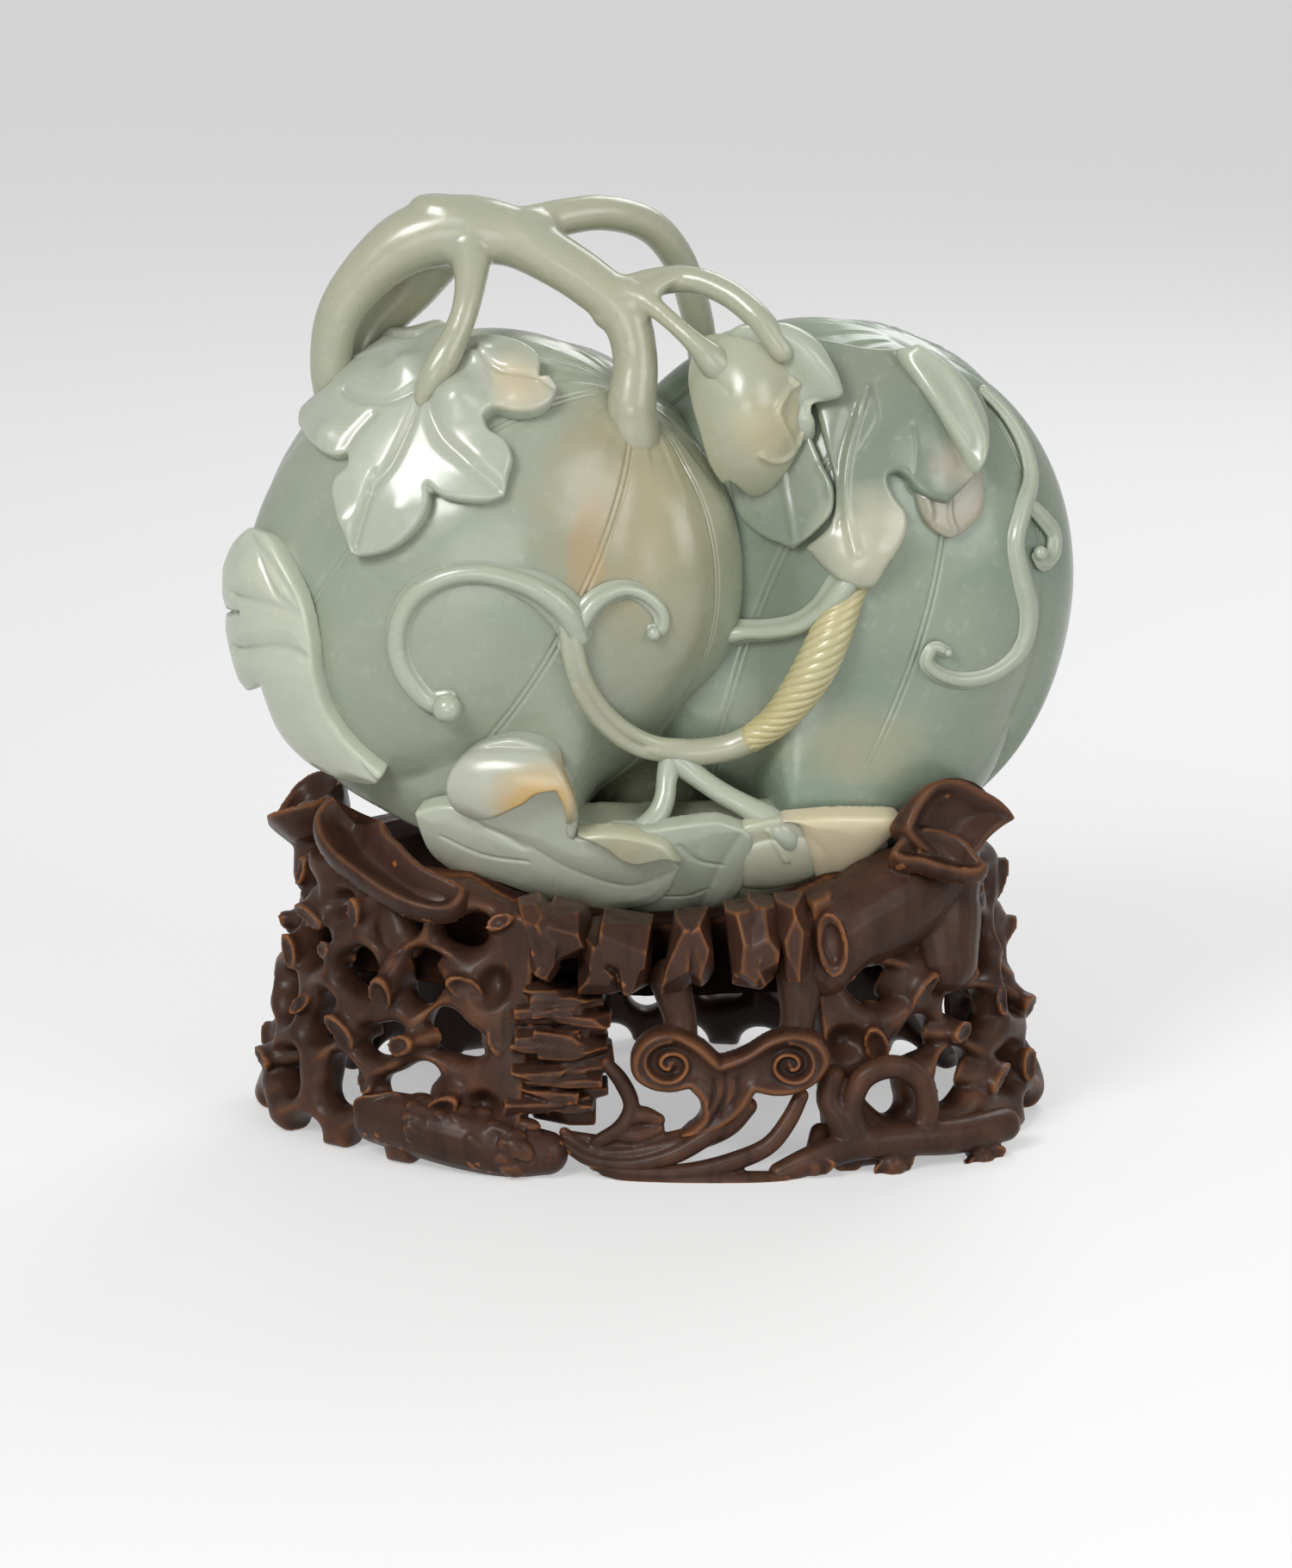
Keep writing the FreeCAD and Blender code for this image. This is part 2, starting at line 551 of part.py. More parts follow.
def oval_loft(inset):
    """An upright oval solid that follows the wall's flare."""
    rings = []
    for height_share in WALL_RING_SHARES:
        share = ring_share(height_share)
        half_sizes = [half * share - inset for half in (BASE_HALF_WIDTH, BASE_HALF_DEPTH)]
        middle = UP * (WALL_HEIGHT * height_share)
        rings.append(round_ring(middle, RIGHTWARD, BACK, *half_sizes, WALL_SIDES))
    return faceted(rings)


def wall_place(angle, height_share, inset):
    """A place in the wall's thickness, and the outward direction there."""
    share = ring_share(height_share)
    half_width = BASE_HALF_WIDTH * share - inset
    half_depth = BASE_HALF_DEPTH * share - inset
    place = Vector(half_width * cos(angle), half_depth * sin(angle), WALL_HEIGHT * height_share)
    outward = Vector(cos(angle) / half_width, sin(angle) / half_depth, 0)
    outward.normalize()
    return place, outward


def wedge(start, end):
    """A tall wedge from the middle of the stand, between two angles in degrees round its oval."""
    corners = [Vector()]
    for step in range(3):
        angle = radians(start + (end - start) * step / 2)
        corners.append(Vector(BASE_HALF_WIDTH * cos(angle), BASE_HALF_DEPTH * sin(angle), 0) * WEDGE_REACH)
    corners.append(Vector())
    return Part.Face(Part.makePolygon(corners)).extrude(Vector(0, 0, WALL_HEIGHT + OVERRUN))


def saddle():
    """The round trough, open to the front and back, that clears the carving above the stand."""
    middle = FRONT * (BASE_HALF_DEPTH + OVERRUN) + UP * (SADDLE_HEIGHT + SADDLE_RADIUS)
    ring = round_ring(middle, RIGHTWARD, UP, SADDLE_RADIUS, SADDLE_RADIUS, SADDLE_SIDES * 2)
    return Part.Face(Part.makePolygon(ring + ring[:1])).extrude(BACK * ((BASE_HALF_DEPTH + OVERRUN) * 2))


def oval_turns():
    """Turns round the foot's oval, HOLE_COLUMNS times two of them, at even lengths along it."""
    turns = [2 * pi * step / OVAL_STEPS for step in range(OVAL_STEPS + 1)]
    lengths = [0]
    for low, high in zip(turns, turns[1:]):
        x, y = BASE_HALF_WIDTH * (cos(high) - cos(low)), BASE_HALF_DEPTH * (sin(high) - sin(low))
        lengths.append(lengths[-1] + hypot(x, y))
    half_columns = HOLE_COLUMNS * 2
    marks = [lengths[-1] * mark / half_columns for mark in range(half_columns)]
    return [next(turn for turn, length in zip(turns, lengths) if length >= mark) for mark in marks]


def wall_sector(wall, limits):
    """One pierced stretch of the wall, with its holes, foot arches and cut branch stubs."""
    start, end = limits
    turns = oval_turns()
    margin = HOLE_HALF_WIDTH + HOLE_RIM

    def columns(offset, every=1):
        """Number and turn of each column between the stretch's ends."""
        found = []
        for number in range(0, HOLE_COLUMNS, every):
            turn = turns[int((number + offset) * 2) % len(turns)]
            reach = degrees(margin / hypot(BASE_HALF_WIDTH * sin(turn), BASE_HALF_DEPTH * cos(turn)))
            for angle in (degrees(turn), degrees(turn) - 360):
                if start + reach < angle < end - reach:
                    found.append((number, turn))
        return found

    holes = []
    for _, turn in columns(0.5):
        holes.append(wall_hole(turn, 0, FOOT_ARCH_HALF_WIDTH, FOOT_ARCH_HEIGHT))
    for row, (offset, height_share) in enumerate(HOLE_ROW_SHARES):
        for number, turn in columns(offset):
            size_share = HOLE_SIZE_SHARES[(number + row * 2) % len(HOLE_SIZE_SHARES)]
            shift_share = HOLE_SHIFT_SHARES[(number + row * 3) % len(HOLE_SHIFT_SHARES)]
            rise_share = height_share + shift_share * HOLE_HALF_HEIGHT / WALL_HEIGHT
            half_height = HOLE_HALF_HEIGHT * size_share
            if has_room(turn, rise_share, half_height):
                holes.append(wall_hole(turn, rise_share, HOLE_HALF_WIDTH * size_share, half_height))
    stubs = []
    for offset, height_share in STUB_ROW_SHARES:
        stubs += [wall_stub(turn, height_share) for _, turn in columns(offset, 3)]
    return wall.common(wedge(start, end)).cut(holes).fuse(stubs).removeSplitter()


def has_room(angle, height_share, half_height):
    """Whether a hole leaves a rim between itself and the saddle above it."""
    place, _ = wall_place(angle, height_share, 0)
    across = min(abs(place.x), SADDLE_RADIUS)
    edge = SADDLE_HEIGHT + SADDLE_RADIUS - sqrt(SADDLE_RADIUS ** 2 - across ** 2)
    return place.z + half_height + HOLE_RIM < min(edge, WALL_HEIGHT)


def crag_ring(middle, right, up, half_width, half_height):
    """The corners of an irregular outline round a place."""
    return [middle + right * (x * half_width) + up * (z * half_height) for x, z in CRAG_SHARES]


def wall_hole(angle, height_share, half_width, half_height):
    """An irregular hole through the wall."""
    place, outward = wall_place(angle, height_share, WALL_THICKNESS / 2)
    middle, right = place - outward * WALL_THICKNESS, UP.cross(outward)
    ring = [middle + right * (x * half_width) + UP * (z * half_height) for x, z in HOLE_CORNER_SHARES]
    return Part.Face(Part.makePolygon(ring + ring[:1])).extrude(outward * (WALL_THICKNESS * 2))


def wall_stub(angle, height_share):
    """A short cut branch that stands out of the wall, a little wider at its cut end."""
    place, outward = wall_place(angle, height_share, WALL_THICKNESS / 2)
    end = place + (outward + UP * STUB_RISE_SHARE).normalize() * STUB_LENGTH
    right = UP.cross(outward)
    rings = []
    for middle, radius_share in ((place, 0.85), (end, 1)):
        radius = STUB_RADIUS * radius_share
        rings.append(round_ring(middle, right, UP, radius, radius, STUB_SIDES))
    return faceted(rings)


# Trunk, log, roots and tails, as place shares of the stand's sizes and a share of the radius
TRUNK_SHARES = [
    (0.47, -0.6, 0.5, 0.72), (0.55, -0.46, 0.68, 0.92), (0.65, -0.35, 0.82, 0.95), (0.74, -0.19, 0.92, 0.85),
    (0.79, -0.08, 0.98, 0.8),
]
LOG_SHARES = [
    (-0.68, -0.62, 0.13, 0.9), (-0.45, -0.8, 0.1, 1), (-0.22, -0.88, 0.09, 1),
]
ROOT_SHARES = [
    (0.3, -0.9, 0.07, 0.9), (0.5, -0.84, 0.08, 1), (0.7, -0.66, 0.08, 1),
]
LEFT_TAIL_SHARES = [
    (0.19, -0.93, 0.19, 1.1), (0.06, -0.95, 0.08, 1.15), (-0.08, -0.95, 0.1, 1), (-0.2, -0.92, 0.19, 0.9),
]
RIGHT_TAIL_SHARES = [
    (0.36, -0.92, 0.25, 0.8), (0.32, -0.93, 0.14, 0.9), (0.25, -0.94, 0.07, 0.9), (0.17, -0.94, 0.04, 0.8),
]
LEFT_POST_SHARES = [(0.06, -0.84, 0.4, 0.9), (0.06, -0.82, 0.56, 1)]
RIGHT_POST_SHARES = [(0.34, -0.84, 0.4, 0.9), (0.35, -0.8, 0.56, 1.1)]
# Ledge rocks: middle and half width, as shares of the stand's half width
ROCK_SHARES = [(-0.23, 0.066), (-0.085, 0.084), (0.12, 0.044), (0.255, 0.062), (0.385, 0.058)]
# A ledge rock from back to front: share of its depth and share of its outline's size
ROCK_PROFILE_SHARES = [(0, 0.95), (0.7, 1), (1, 0.62)]
# The craggy column: shares of its half width at even steps up its height
COLUMN_CRAG_SHARES = (1, 0.72, 0.95, 0.7, 0.9, 0.66, 0.92, 0.78, 1)
# One crag section or rock face, as shares of its half width and of its half height or depth
CRAG_SHARES = [(-1, -0.5), (-0.4, -1), (0.5, -0.9), (1, -0.3), (0.8, 0.8), (-0.3, 1), (-0.9, 0.6)]
# The double scroll: arc ends and the place that each arc passes through
RUYI_SHARES = [
    ((-0.09, 0.69), (-0.57, 1.01)), ((-0.98, 0.62), (-0.68, 0.36)), ((-0.36, 0.36), (-0.3, 0.16)),
    ((-0.42, -0.04), (-0.1, -0.1)), ((0.2, -0.02), (0.22, 0.18)), ((0.34, 0.36), (0.66, 0.33)),
    ((0.98, 0.64), (0.6, 1)),
]
# Middle of each scroll and the way it winds, and how far in and round its ridge runs
SCROLL_SHARES = [(-0.6, 0.67, 1), (0.6, 0.66, -1)]
SCROLL_END_SHARE = 0.2
SCROLL_TURNS = 1.35


def stand_branch(table_shares, radius):
    """A tube through places of the stand."""
    points = [stand_place(*row[:-1]) for row in table_shares]
    return tube(points, [radius * row[-1] for row in table_shares])


def rock(x_share, half_width_share):
    """A chipped block of the ledge: back, shoulder and front outlines joined by flat faces."""
    middle = stand_place(x_share, -0.72, 0.63)
    half_width = BASE_HALF_WIDTH * half_width_share
    rings = []
    for depth_share, size_share in ROCK_PROFILE_SHARES:
        place = middle + FRONT * (ROCK_DEPTH * depth_share)
        rings.append(crag_ring(place, RIGHTWARD, UP, half_width * size_share, ROCK_HEIGHT / 2 * size_share))
    return faceted(rings)


def column():
    """The craggy rock column, wide and narrow by turns up its height."""
    foot = stand_place(-0.18, -0.79, 0.15)
    top = stand_place(-0.17, -0.75, 0.56)
    rings = []
    last = len(COLUMN_CRAG_SHARES) - 1
    for step, size_share in enumerate(COLUMN_CRAG_SHARES):
        place = foot + (top - foot) * (step / last)
        half_sizes = [COLUMN_HALF_WIDTH * size_share, COLUMN_DEPTH / 2 * size_share]
        rings.append(crag_ring(place, RIGHTWARD, BACK, *half_sizes))
    return faceted(rings)


def ruyi():
    """The double scroll fungus at the front: a thick plate with two dished scrolls and their ridges."""
    base = stand_place(0.2, -0.84, 0.16)

    def spot(share):
        return base + Vector(share[0] * RUYI_HALF_WIDTH, 0, share[1] * RUYI_HEIGHT)

    corners = []
    for number, (start, middle) in enumerate(RUYI_SHARES):
        end = RUYI_SHARES[(number + 1) % len(RUYI_SHARES)][0]
        arc = Part.Arc(spot(start), spot(middle), spot(end)).toShape()
        corners += arc.discretize(ARC_SIDES + 1)[:-1]
    plate = Part.Face(Part.makePolygon(corners + corners[:1])).extrude(FRONT * RUYI_THICKNESS)
    middles = [(spot(row[:2]) + FRONT * RUYI_THICKNESS, row[2]) for row in SCROLL_SHARES]
    dishes = [scroll_dish(middle) for middle, _ in middles]
    return plate.cut(dishes).fuse([scroll_ridge(*row) for row in middles])


def scroll_dish(middle):
    """The hollow of a scroll, wide at the face of its plate."""
    rings = []
    for depth, size_share in ((0, 1), (SCROLL_DEPTH, 0.7)):
        place = middle + BACK * depth
        rings.append(round_ring(place, RIGHTWARD, UP, SCROLL_RADIUS * size_share, SCROLL_RADIUS * size_share,
                                SCROLL_SIDES))
    return faceted(rings)


def scroll_ridge(middle, way):
    """The ridge that winds into a scroll, seated in its hollow."""
    spots = []
    for step in range(SCROLL_STEPS + 1):
        share = step / SCROLL_STEPS
        turn = pi / 2 + way * 2 * pi * SCROLL_TURNS * share
        reach = (SCROLL_RADIUS - SCROLL_RIDGE_RADIUS) * (1 + (SCROLL_END_SHARE - 1) * share)
        place = middle + BACK * SCROLL_DEPTH + RIGHTWARD * (reach * cos(turn)) + UP * (reach * sin(turn))
        spots.append((place, FRONT))
    return tendril(spots, [SCROLL_RIDGE_RADIUS] * len(spots))


def carve_stand():
    """The pierced stand, which is one carved wood block."""
    seats = [egg.solid(SEAT_CLEARANCE) for egg in (LEFT, RIGHT, BED)]
    seats.append(leaf(LEFT, EDGE_LEAF_SHARES, EDGE_LEAF_THICKNESS, SEAT_CLEARANCE))
    hollow = saddle()
    stand = Body()
    for name, shape in {**fungus_caps(), **front_carving()}.items():
        stand.add(name, shape.cut(seats))
    low, high = stand_place(-1, -1, 0), SADDLE_HEIGHT - CRADLE_THICKNESS
    below = Part.makeBox(BASE_HALF_WIDTH * 2, BASE_HALF_DEPTH * 2, high, low)
    stand.add("cradle", oval_loft(WALL_THICKNESS).cut([below, hollow] + seats))
    wall = oval_loft(0).cut(oval_loft(WALL_THICKNESS)).cut([hollow] + seats)
    for name, limits in WALL_DEGREES.items():
        stand.add(name, wall_sector(wall, limits))
    return stand


def fungus_caps():
    """The fungus caps and the trunk that hold the carving's sides."""
    return {
        "fungus_front_left": cup(
            stand_place(-0.63, -0.48, 0.88), Vector(0.75, -0.49, -0.46), Vector(0, -0.68, 0.73),
            BASE_HALF_WIDTH * 0.22, BASE_HALF_DEPTH * 0.15, STAND_HEIGHT * 0.07),
        "fungus_back_left": cup(
            stand_place(-0.84, 0.1, 0.9), Vector(0.3, 1, 0), Vector(-0.5, 0, 0.87),
            BASE_HALF_WIDTH * 0.13, BASE_HALF_DEPTH * 0.2, STAND_HEIGHT * 0.09),
        "fungus_right_low": cup(
            stand_place(0.73, -0.42, 0.86), Vector(1, 0.1, -0.12), Vector(0.1, -0.5, 0.86),
            BASE_HALF_WIDTH * 0.15, BASE_HALF_DEPTH * 0.15, STAND_HEIGHT * 0.08),
        "fungus_right_top": cup(
            stand_place(0.83, -0.06, 1), Vector(0.3, 1, 0), Vector(0.45, -0.1, 0.89),
            BASE_HALF_WIDTH * 0.13, BASE_HALF_DEPTH * 0.2, STAND_HEIGHT * 0.09),
        "trunk_right": stand_branch(TRUNK_SHARES, TRUNK_RADIUS),
    }


def front_carving():
    """The rocks, double scroll, log and roots across the open front."""
    rocks = {f"ledge_rock_{number}": rock(*row) for number, row in enumerate(ROCK_SHARES, 1)}
    low = stand_place(-2, -2, 0) - UP * OVERRUN
    below = Part.makeBox(BASE_HALF_WIDTH * 4, BASE_HALF_DEPTH * 4, OVERRUN, low)
    return {
        **rocks,
        "rock_column": column(),
        "ruyi_fungus": ruyi(),
        "ruyi_post_left": stand_branch(LEFT_POST_SHARES, POST_RADIUS),
        "ruyi_post_right": stand_branch(RIGHT_POST_SHARES, POST_RADIUS),
        "log_front_left": stand_branch(LOG_SHARES, LOG_RADIUS).cut(below),
        "ruyi_tail_left": stand_branch(LEFT_TAIL_SHARES, TAIL_RADIUS).cut(below),
        "ruyi_tail_right": stand_branch(RIGHT_TAIL_SHARES, TAIL_RADIUS).cut(below),
        "root_front_right": stand_branch(ROOT_SHARES, ROOT_RADIUS).cut(below),
    }


def report(body):
    """Print each piece's solids, volume and box, for a look at the sizes."""
    for name, shape in body.pieces.items():
        box = shape.BoundBox
        print(f"{name:24} {len(shape.Solids)} {shape.Volume:9.1f} {shape.isValid()} "
              f"{box.XMin:7.1f}{box.XMax:7.1f}{box.YMin:7.1f}{box.YMax:7.1f}{box.ZMin:7.1f}{box.ZMax:7.1f}")


os.makedirs("parts", exist_ok=True)
for body in (carve_jade(), carve_stand()):
    report(body)
    body.export()
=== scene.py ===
"""A jade carving of two melons on a vine, seated on its pierced wood stand, dressed around the part."""

import logging
import math
from dataclasses import dataclass
from enum import Enum
from typing import Sequence

import bmesh
import bpy
import numpy as np
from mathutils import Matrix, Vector


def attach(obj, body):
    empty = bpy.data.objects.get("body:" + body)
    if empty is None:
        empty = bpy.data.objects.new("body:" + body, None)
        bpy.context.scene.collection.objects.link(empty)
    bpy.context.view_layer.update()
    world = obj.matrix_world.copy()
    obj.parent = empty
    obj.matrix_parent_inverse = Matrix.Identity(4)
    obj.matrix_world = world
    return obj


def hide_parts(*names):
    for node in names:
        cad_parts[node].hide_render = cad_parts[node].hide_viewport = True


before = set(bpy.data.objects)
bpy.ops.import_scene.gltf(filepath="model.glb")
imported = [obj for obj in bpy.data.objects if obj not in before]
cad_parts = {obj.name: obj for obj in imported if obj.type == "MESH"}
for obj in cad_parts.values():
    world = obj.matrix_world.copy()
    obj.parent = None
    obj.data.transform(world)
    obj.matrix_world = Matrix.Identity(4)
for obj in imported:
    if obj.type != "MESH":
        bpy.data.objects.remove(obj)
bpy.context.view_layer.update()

log = logging.getLogger("carving")

# Shapes are worked out in millimetres and written in metres
MM = 0.001
# Width and height of the photograph, in pixels
PHOTO_SIZE = (1500, 1820)
# Height of the camera's sensor, in millimetres
SENSOR_HEIGHT = 36.0
# A direction that no stem runs along, from which its sections are turned
SECTION_GUIDE = (0.13, -1.0, 0.21)
# Half sizes of the box that the cut branches keep within, in millimetres
BRANCH_ROOM = (86.6, 52.2)
# Faces of a filled outline under this area are slivers, in square millimetres
SLIVER = 1e-3

Row = tuple[float, ...]


class Body(Enum):
    """The rigid bodies of the part."""

    STAND = "stand"
    CARVING = "carving"


class Slot(Enum):
    """The material slots of the part."""

    JADE = "jade"
    WOOD = "wood"


def spline(rows: Sequence[Row] | np.ndarray, step: float) -> np.ndarray:
    """Round a given path off into a smooth dense one.

    Args:
        rows: The places of the path, each with as many values as wanted; the first two or three are lengths.
        step: The distance between the places of the result, in the unit of the rows.

    Returns:
        The dense path, one row a place.
    """
    points = np.array(rows, float)
    if len(points) == 2:
        points = np.vstack([points[0], points.mean(0), points[1]])
    places = points[:, :3]
    runs = np.sqrt(np.linalg.norm(np.diff(places, axis=0), axis=1))
    knots = np.concatenate([[0], np.cumsum(runs)])
    slopes = np.gradient(points, knots, axis=0)
    dense = []
    for number in range(len(points) - 1):
        gap = knots[number + 1] - knots[number]
        count = max(int(math.ceil(np.linalg.norm(places[number + 1] - places[number]) / step)), 1)
        share = np.linspace(0, 1, count, endpoint=False)[:, None]
        square, cube = share ** 2, share ** 3
        dense.append(
            (2 * cube - 3 * square + 1) * points[number]
            + (cube - 2 * square + share) * gap * slopes[number]
            + (3 * square - 2 * cube) * points[number + 1]
            + (cube - square) * gap * slopes[number + 1]
        )
    return np.vstack(dense + [points[-1:]])


def closed_spline(rows: Sequence[Row] | np.ndarray, step: float, sharp: Sequence[int] = ()) -> np.ndarray:
    """Round a closed outline off, apart from the corners that stay sharp.

    Args:
        rows: The outline's places in order.
        step: The distance between the places of the result.
        sharp: The numbers of the places that stay sharp corners.

    Returns:
        The dense outline, which doesn't repeat its first place.
    """
    points = [tuple(row) for row in rows]
    corners = sorted(sharp) or [0]
    ring = []
    for number, corner in enumerate(corners):
        following = corners[(number + 1) % len(corners)]
        span = (following - corner - 1) % len(points) + 1
        stretch = [points[(corner + offset) % len(points)] for offset in range(span + 1)]
        if not sharp:
            stretch = [points[-1]] + stretch + [points[1]]
        dense = spline(stretch, step)
        if not sharp:
            starts = np.argmin(np.linalg.norm(dense - points[0], axis=1)[: len(dense) // 2])
            far = np.linalg.norm(dense - points[0], axis=1)[::-1]
            ends = len(dense) - 1 - np.argmin(far[: len(dense) // 2])
            dense = dense[starts: ends + 1]
        ring.append(dense[:-1])
    return np.vstack(ring)


def distance_to_path(points: np.ndarray, path: np.ndarray, closed: bool = False) -> np.ndarray:
    """Distance in the plane from each point to a path.

    Args:
        points: The points, two values a row.
        path: The path's places, two values a row.
        closed: Whether the path runs back to its first place.

    Returns:
        One distance a point.
    """
    ends = np.roll(path, -1, axis=0) if closed else path[1:]
    starts = path if closed else path[:-1]
    best = np.full(len(points), np.inf)
    for start, end in zip(starts, ends):
        along = end - start
        length = max(float(along @ along), 1e-12)
        share = np.clip((points - start) @ along / length, 0, 1)
        gap = points - start - share[:, None] * along
        best = np.minimum(best, np.einsum("ij,ij->i", gap, gap))
    return np.sqrt(best)


def nearest_share(points: np.ndarray, path: np.ndarray) -> np.ndarray:
    """How far along a path, from 0 to 1, the place nearest to each point lies."""
    best = np.full(len(points), np.inf)
    share = np.zeros(len(points))
    for number, place in enumerate(path):
        gap = points - place
        square = np.einsum("ij,ij->i", gap, gap)
        closer = square < best
        best[closer] = square[closer]
        share[closer] = number / (len(path) - 1)
    return share


def coordinates(mesh: bpy.types.Mesh) -> np.ndarray:
    """The mesh's vertices, three values a row."""
    found = np.empty(len(mesh.vertices) * 3)
    mesh.vertices.foreach_get("co", found)
    return found.reshape(-1, 3)


def move_to(mesh: bpy.types.Mesh, places: np.ndarray) -> None:
    """Move the mesh's vertices to new places."""
    mesh.vertices.foreach_set("co", places.ravel())
    mesh.update()


def unit(vectors: np.ndarray) -> np.ndarray:
    """The vectors at length 1."""
    return vectors / np.maximum(np.linalg.norm(vectors, axis=-1, keepdims=True), 1e-9)


def as_mesh(shape: bmesh.types.BMesh) -> bpy.types.Mesh:
    """Write a shape to a new mesh and free it."""
    mesh = bpy.data.meshes.new("shape")
    shape.to_mesh(mesh)
    shape.free()
    return mesh


def fused(mesh: bpy.types.Mesh, voxel: float, rounds: int) -> bpy.types.Mesh:
    """Join overlapping closed forms into one skin and soften the creases between them.

    Args:
        mesh: The forms, which are used up.
        voxel: The size of the new skin's faces.
        rounds: How many times the skin is smoothed.

    Returns:
        The one skin.
    """
    carrier = bpy.data.objects.new("carrier", mesh)
    bpy.context.collection.objects.link(carrier)
    remesh = carrier.modifiers.new("remesh", "REMESH")
    remesh.mode = "VOXEL"
    remesh.voxel_size = voxel
    smooth = carrier.modifiers.new("smooth", "SMOOTH")
    smooth.factor = 0.5
    smooth.iterations = rounds
    bpy.context.view_layer.update()
    done = bpy.data.meshes.new_from_object(carrier.evaluated_get(bpy.context.evaluated_depsgraph_get()))
    bpy.data.objects.remove(carrier)
    bpy.data.meshes.remove(mesh)
    return done


def frames_along(path: np.ndarray, guide: np.ndarray) -> tuple[np.ndarray, np.ndarray, np.ndarray]:
    """Directions along, across and above a path.

    Args:
        path: The path's places.
        guide: The direction that is roughly up at each place.

    Returns:
        The unit vectors along, across and up, one row a place.
    """
    along = unit(np.gradient(path, axis=0))
    across = unit(np.cross(along, guide))
    return along, across, np.cross(across, along)


def swept(path: np.ndarray, radii: np.ndarray, guide: np.ndarray, profile: np.ndarray,
          twist: float = 0.0) -> bpy.types.Mesh:
    """Sweep a closed profile along a path, closed and rounded at both ends.

    Args:
        path: The path's places.
        radii: The size of the profile at each place.
        guide: The direction that is roughly up at each place.
        profile: The profile's corners, each a share of the radius across and up.
        twist: How far the profile turns as it goes, in turns to a millimetre.

    Returns:
        The swept form.
    """
    along, across, up = frames_along(path, guide)
    dome = np.sin(np.linspace(0, math.pi / 2, 6))[1:]
    head = path[0] - along[0] * (radii[0] * dome[::-1, None])
    tail = path[-1] + along[-1] * (radii[-1] * dome[:, None])
    shrink = np.sqrt(np.maximum(1 - dome ** 2, 0))
    places = np.vstack([head, path, tail])
    sizes = np.concatenate([radii[0] * shrink[::-1], radii, radii[-1] * shrink])
    pick = np.concatenate([np.zeros(len(head), int), np.arange(len(path)), np.full(len(tail), len(path) - 1)])
    sides = len(profile)
    run = np.concatenate([[0], np.cumsum(np.linalg.norm(np.diff(path, axis=0), axis=1))])[pick]
    cos, sin = np.cos(run * twist * 2 * math.pi), np.sin(run * twist * 2 * math.pi)
    shape = bmesh.new()
    bmesh.ops.create_grid(shape, x_segments=len(places) - 1, y_segments=sides, size=1)
    for vertex in shape.verts:
        row = round((vertex.co.x + 1) / 2 * (len(places) - 1))
        x, y = profile[round((vertex.co.y + 1) / 2 * sides) % sides] * sizes[row]
        corner = (x * cos[row] - y * sin[row], x * sin[row] + y * cos[row])
        vertex.co = places[row] + across[pick[row]] * corner[0] + up[pick[row]] * corner[1]
    bmesh.ops.remove_doubles(shape, verts=shape.verts[:], dist=1e-5)
    bmesh.ops.recalc_face_normals(shape, faces=shape.faces[:])
    return as_mesh(shape)


def round_profile(sides: int) -> np.ndarray:
    """A circle's corners."""
    turns = np.linspace(0, 2 * math.pi, sides, endpoint=False)
    return np.stack([np.cos(turns), np.sin(turns)], axis=1)


def tube(rows: Sequence[Row], step: float = 1.2, sides: int = 20) -> bpy.types.Mesh:
    """A round branch through places, each given as X, Y, Z and a radius."""
    path = spline(rows, step)
    guide = np.tile(SECTION_GUIDE, (len(path), 1))
    return swept(path[:, :3], path[:, 3], guide, round_profile(sides))


def joined(meshes: Sequence[bpy.types.Mesh]) -> bpy.types.Mesh:
    """Put several meshes into one, and use them up."""
    shape = bmesh.new()
    for mesh in meshes:
        shape.from_mesh(mesh)
        bpy.data.meshes.remove(mesh)
    return as_mesh(shape)


def ball(centre: Row, half: Row, turn: float = 0.0, rings: int = 24) -> bpy.types.Mesh:
    """An egg form.

    Args:
        centre: The middle.
        half: The half sizes along X, Y and Z before the turn.
        turn: The lean to the right about the Y axis, in degrees.
        rings: How many rings of faces it has.

    Returns:
        The closed form.
    """
    shape = bmesh.new()
    bmesh.ops.create_uvsphere(shape, u_segments=rings * 2, v_segments=rings, radius=1)
    mesh = as_mesh(shape)
    local = coordinates(mesh) * np.array(half)
    lean = math.radians(turn)
    places = np.stack([
        local[:, 0] * math.cos(lean) + local[:, 2] * math.sin(lean),
        local[:, 1],
        local[:, 2] * math.cos(lean) - local[:, 0] * math.sin(lean),
    ], axis=1)
    move_to(mesh, places + np.array(centre))
    return mesh


# Camera


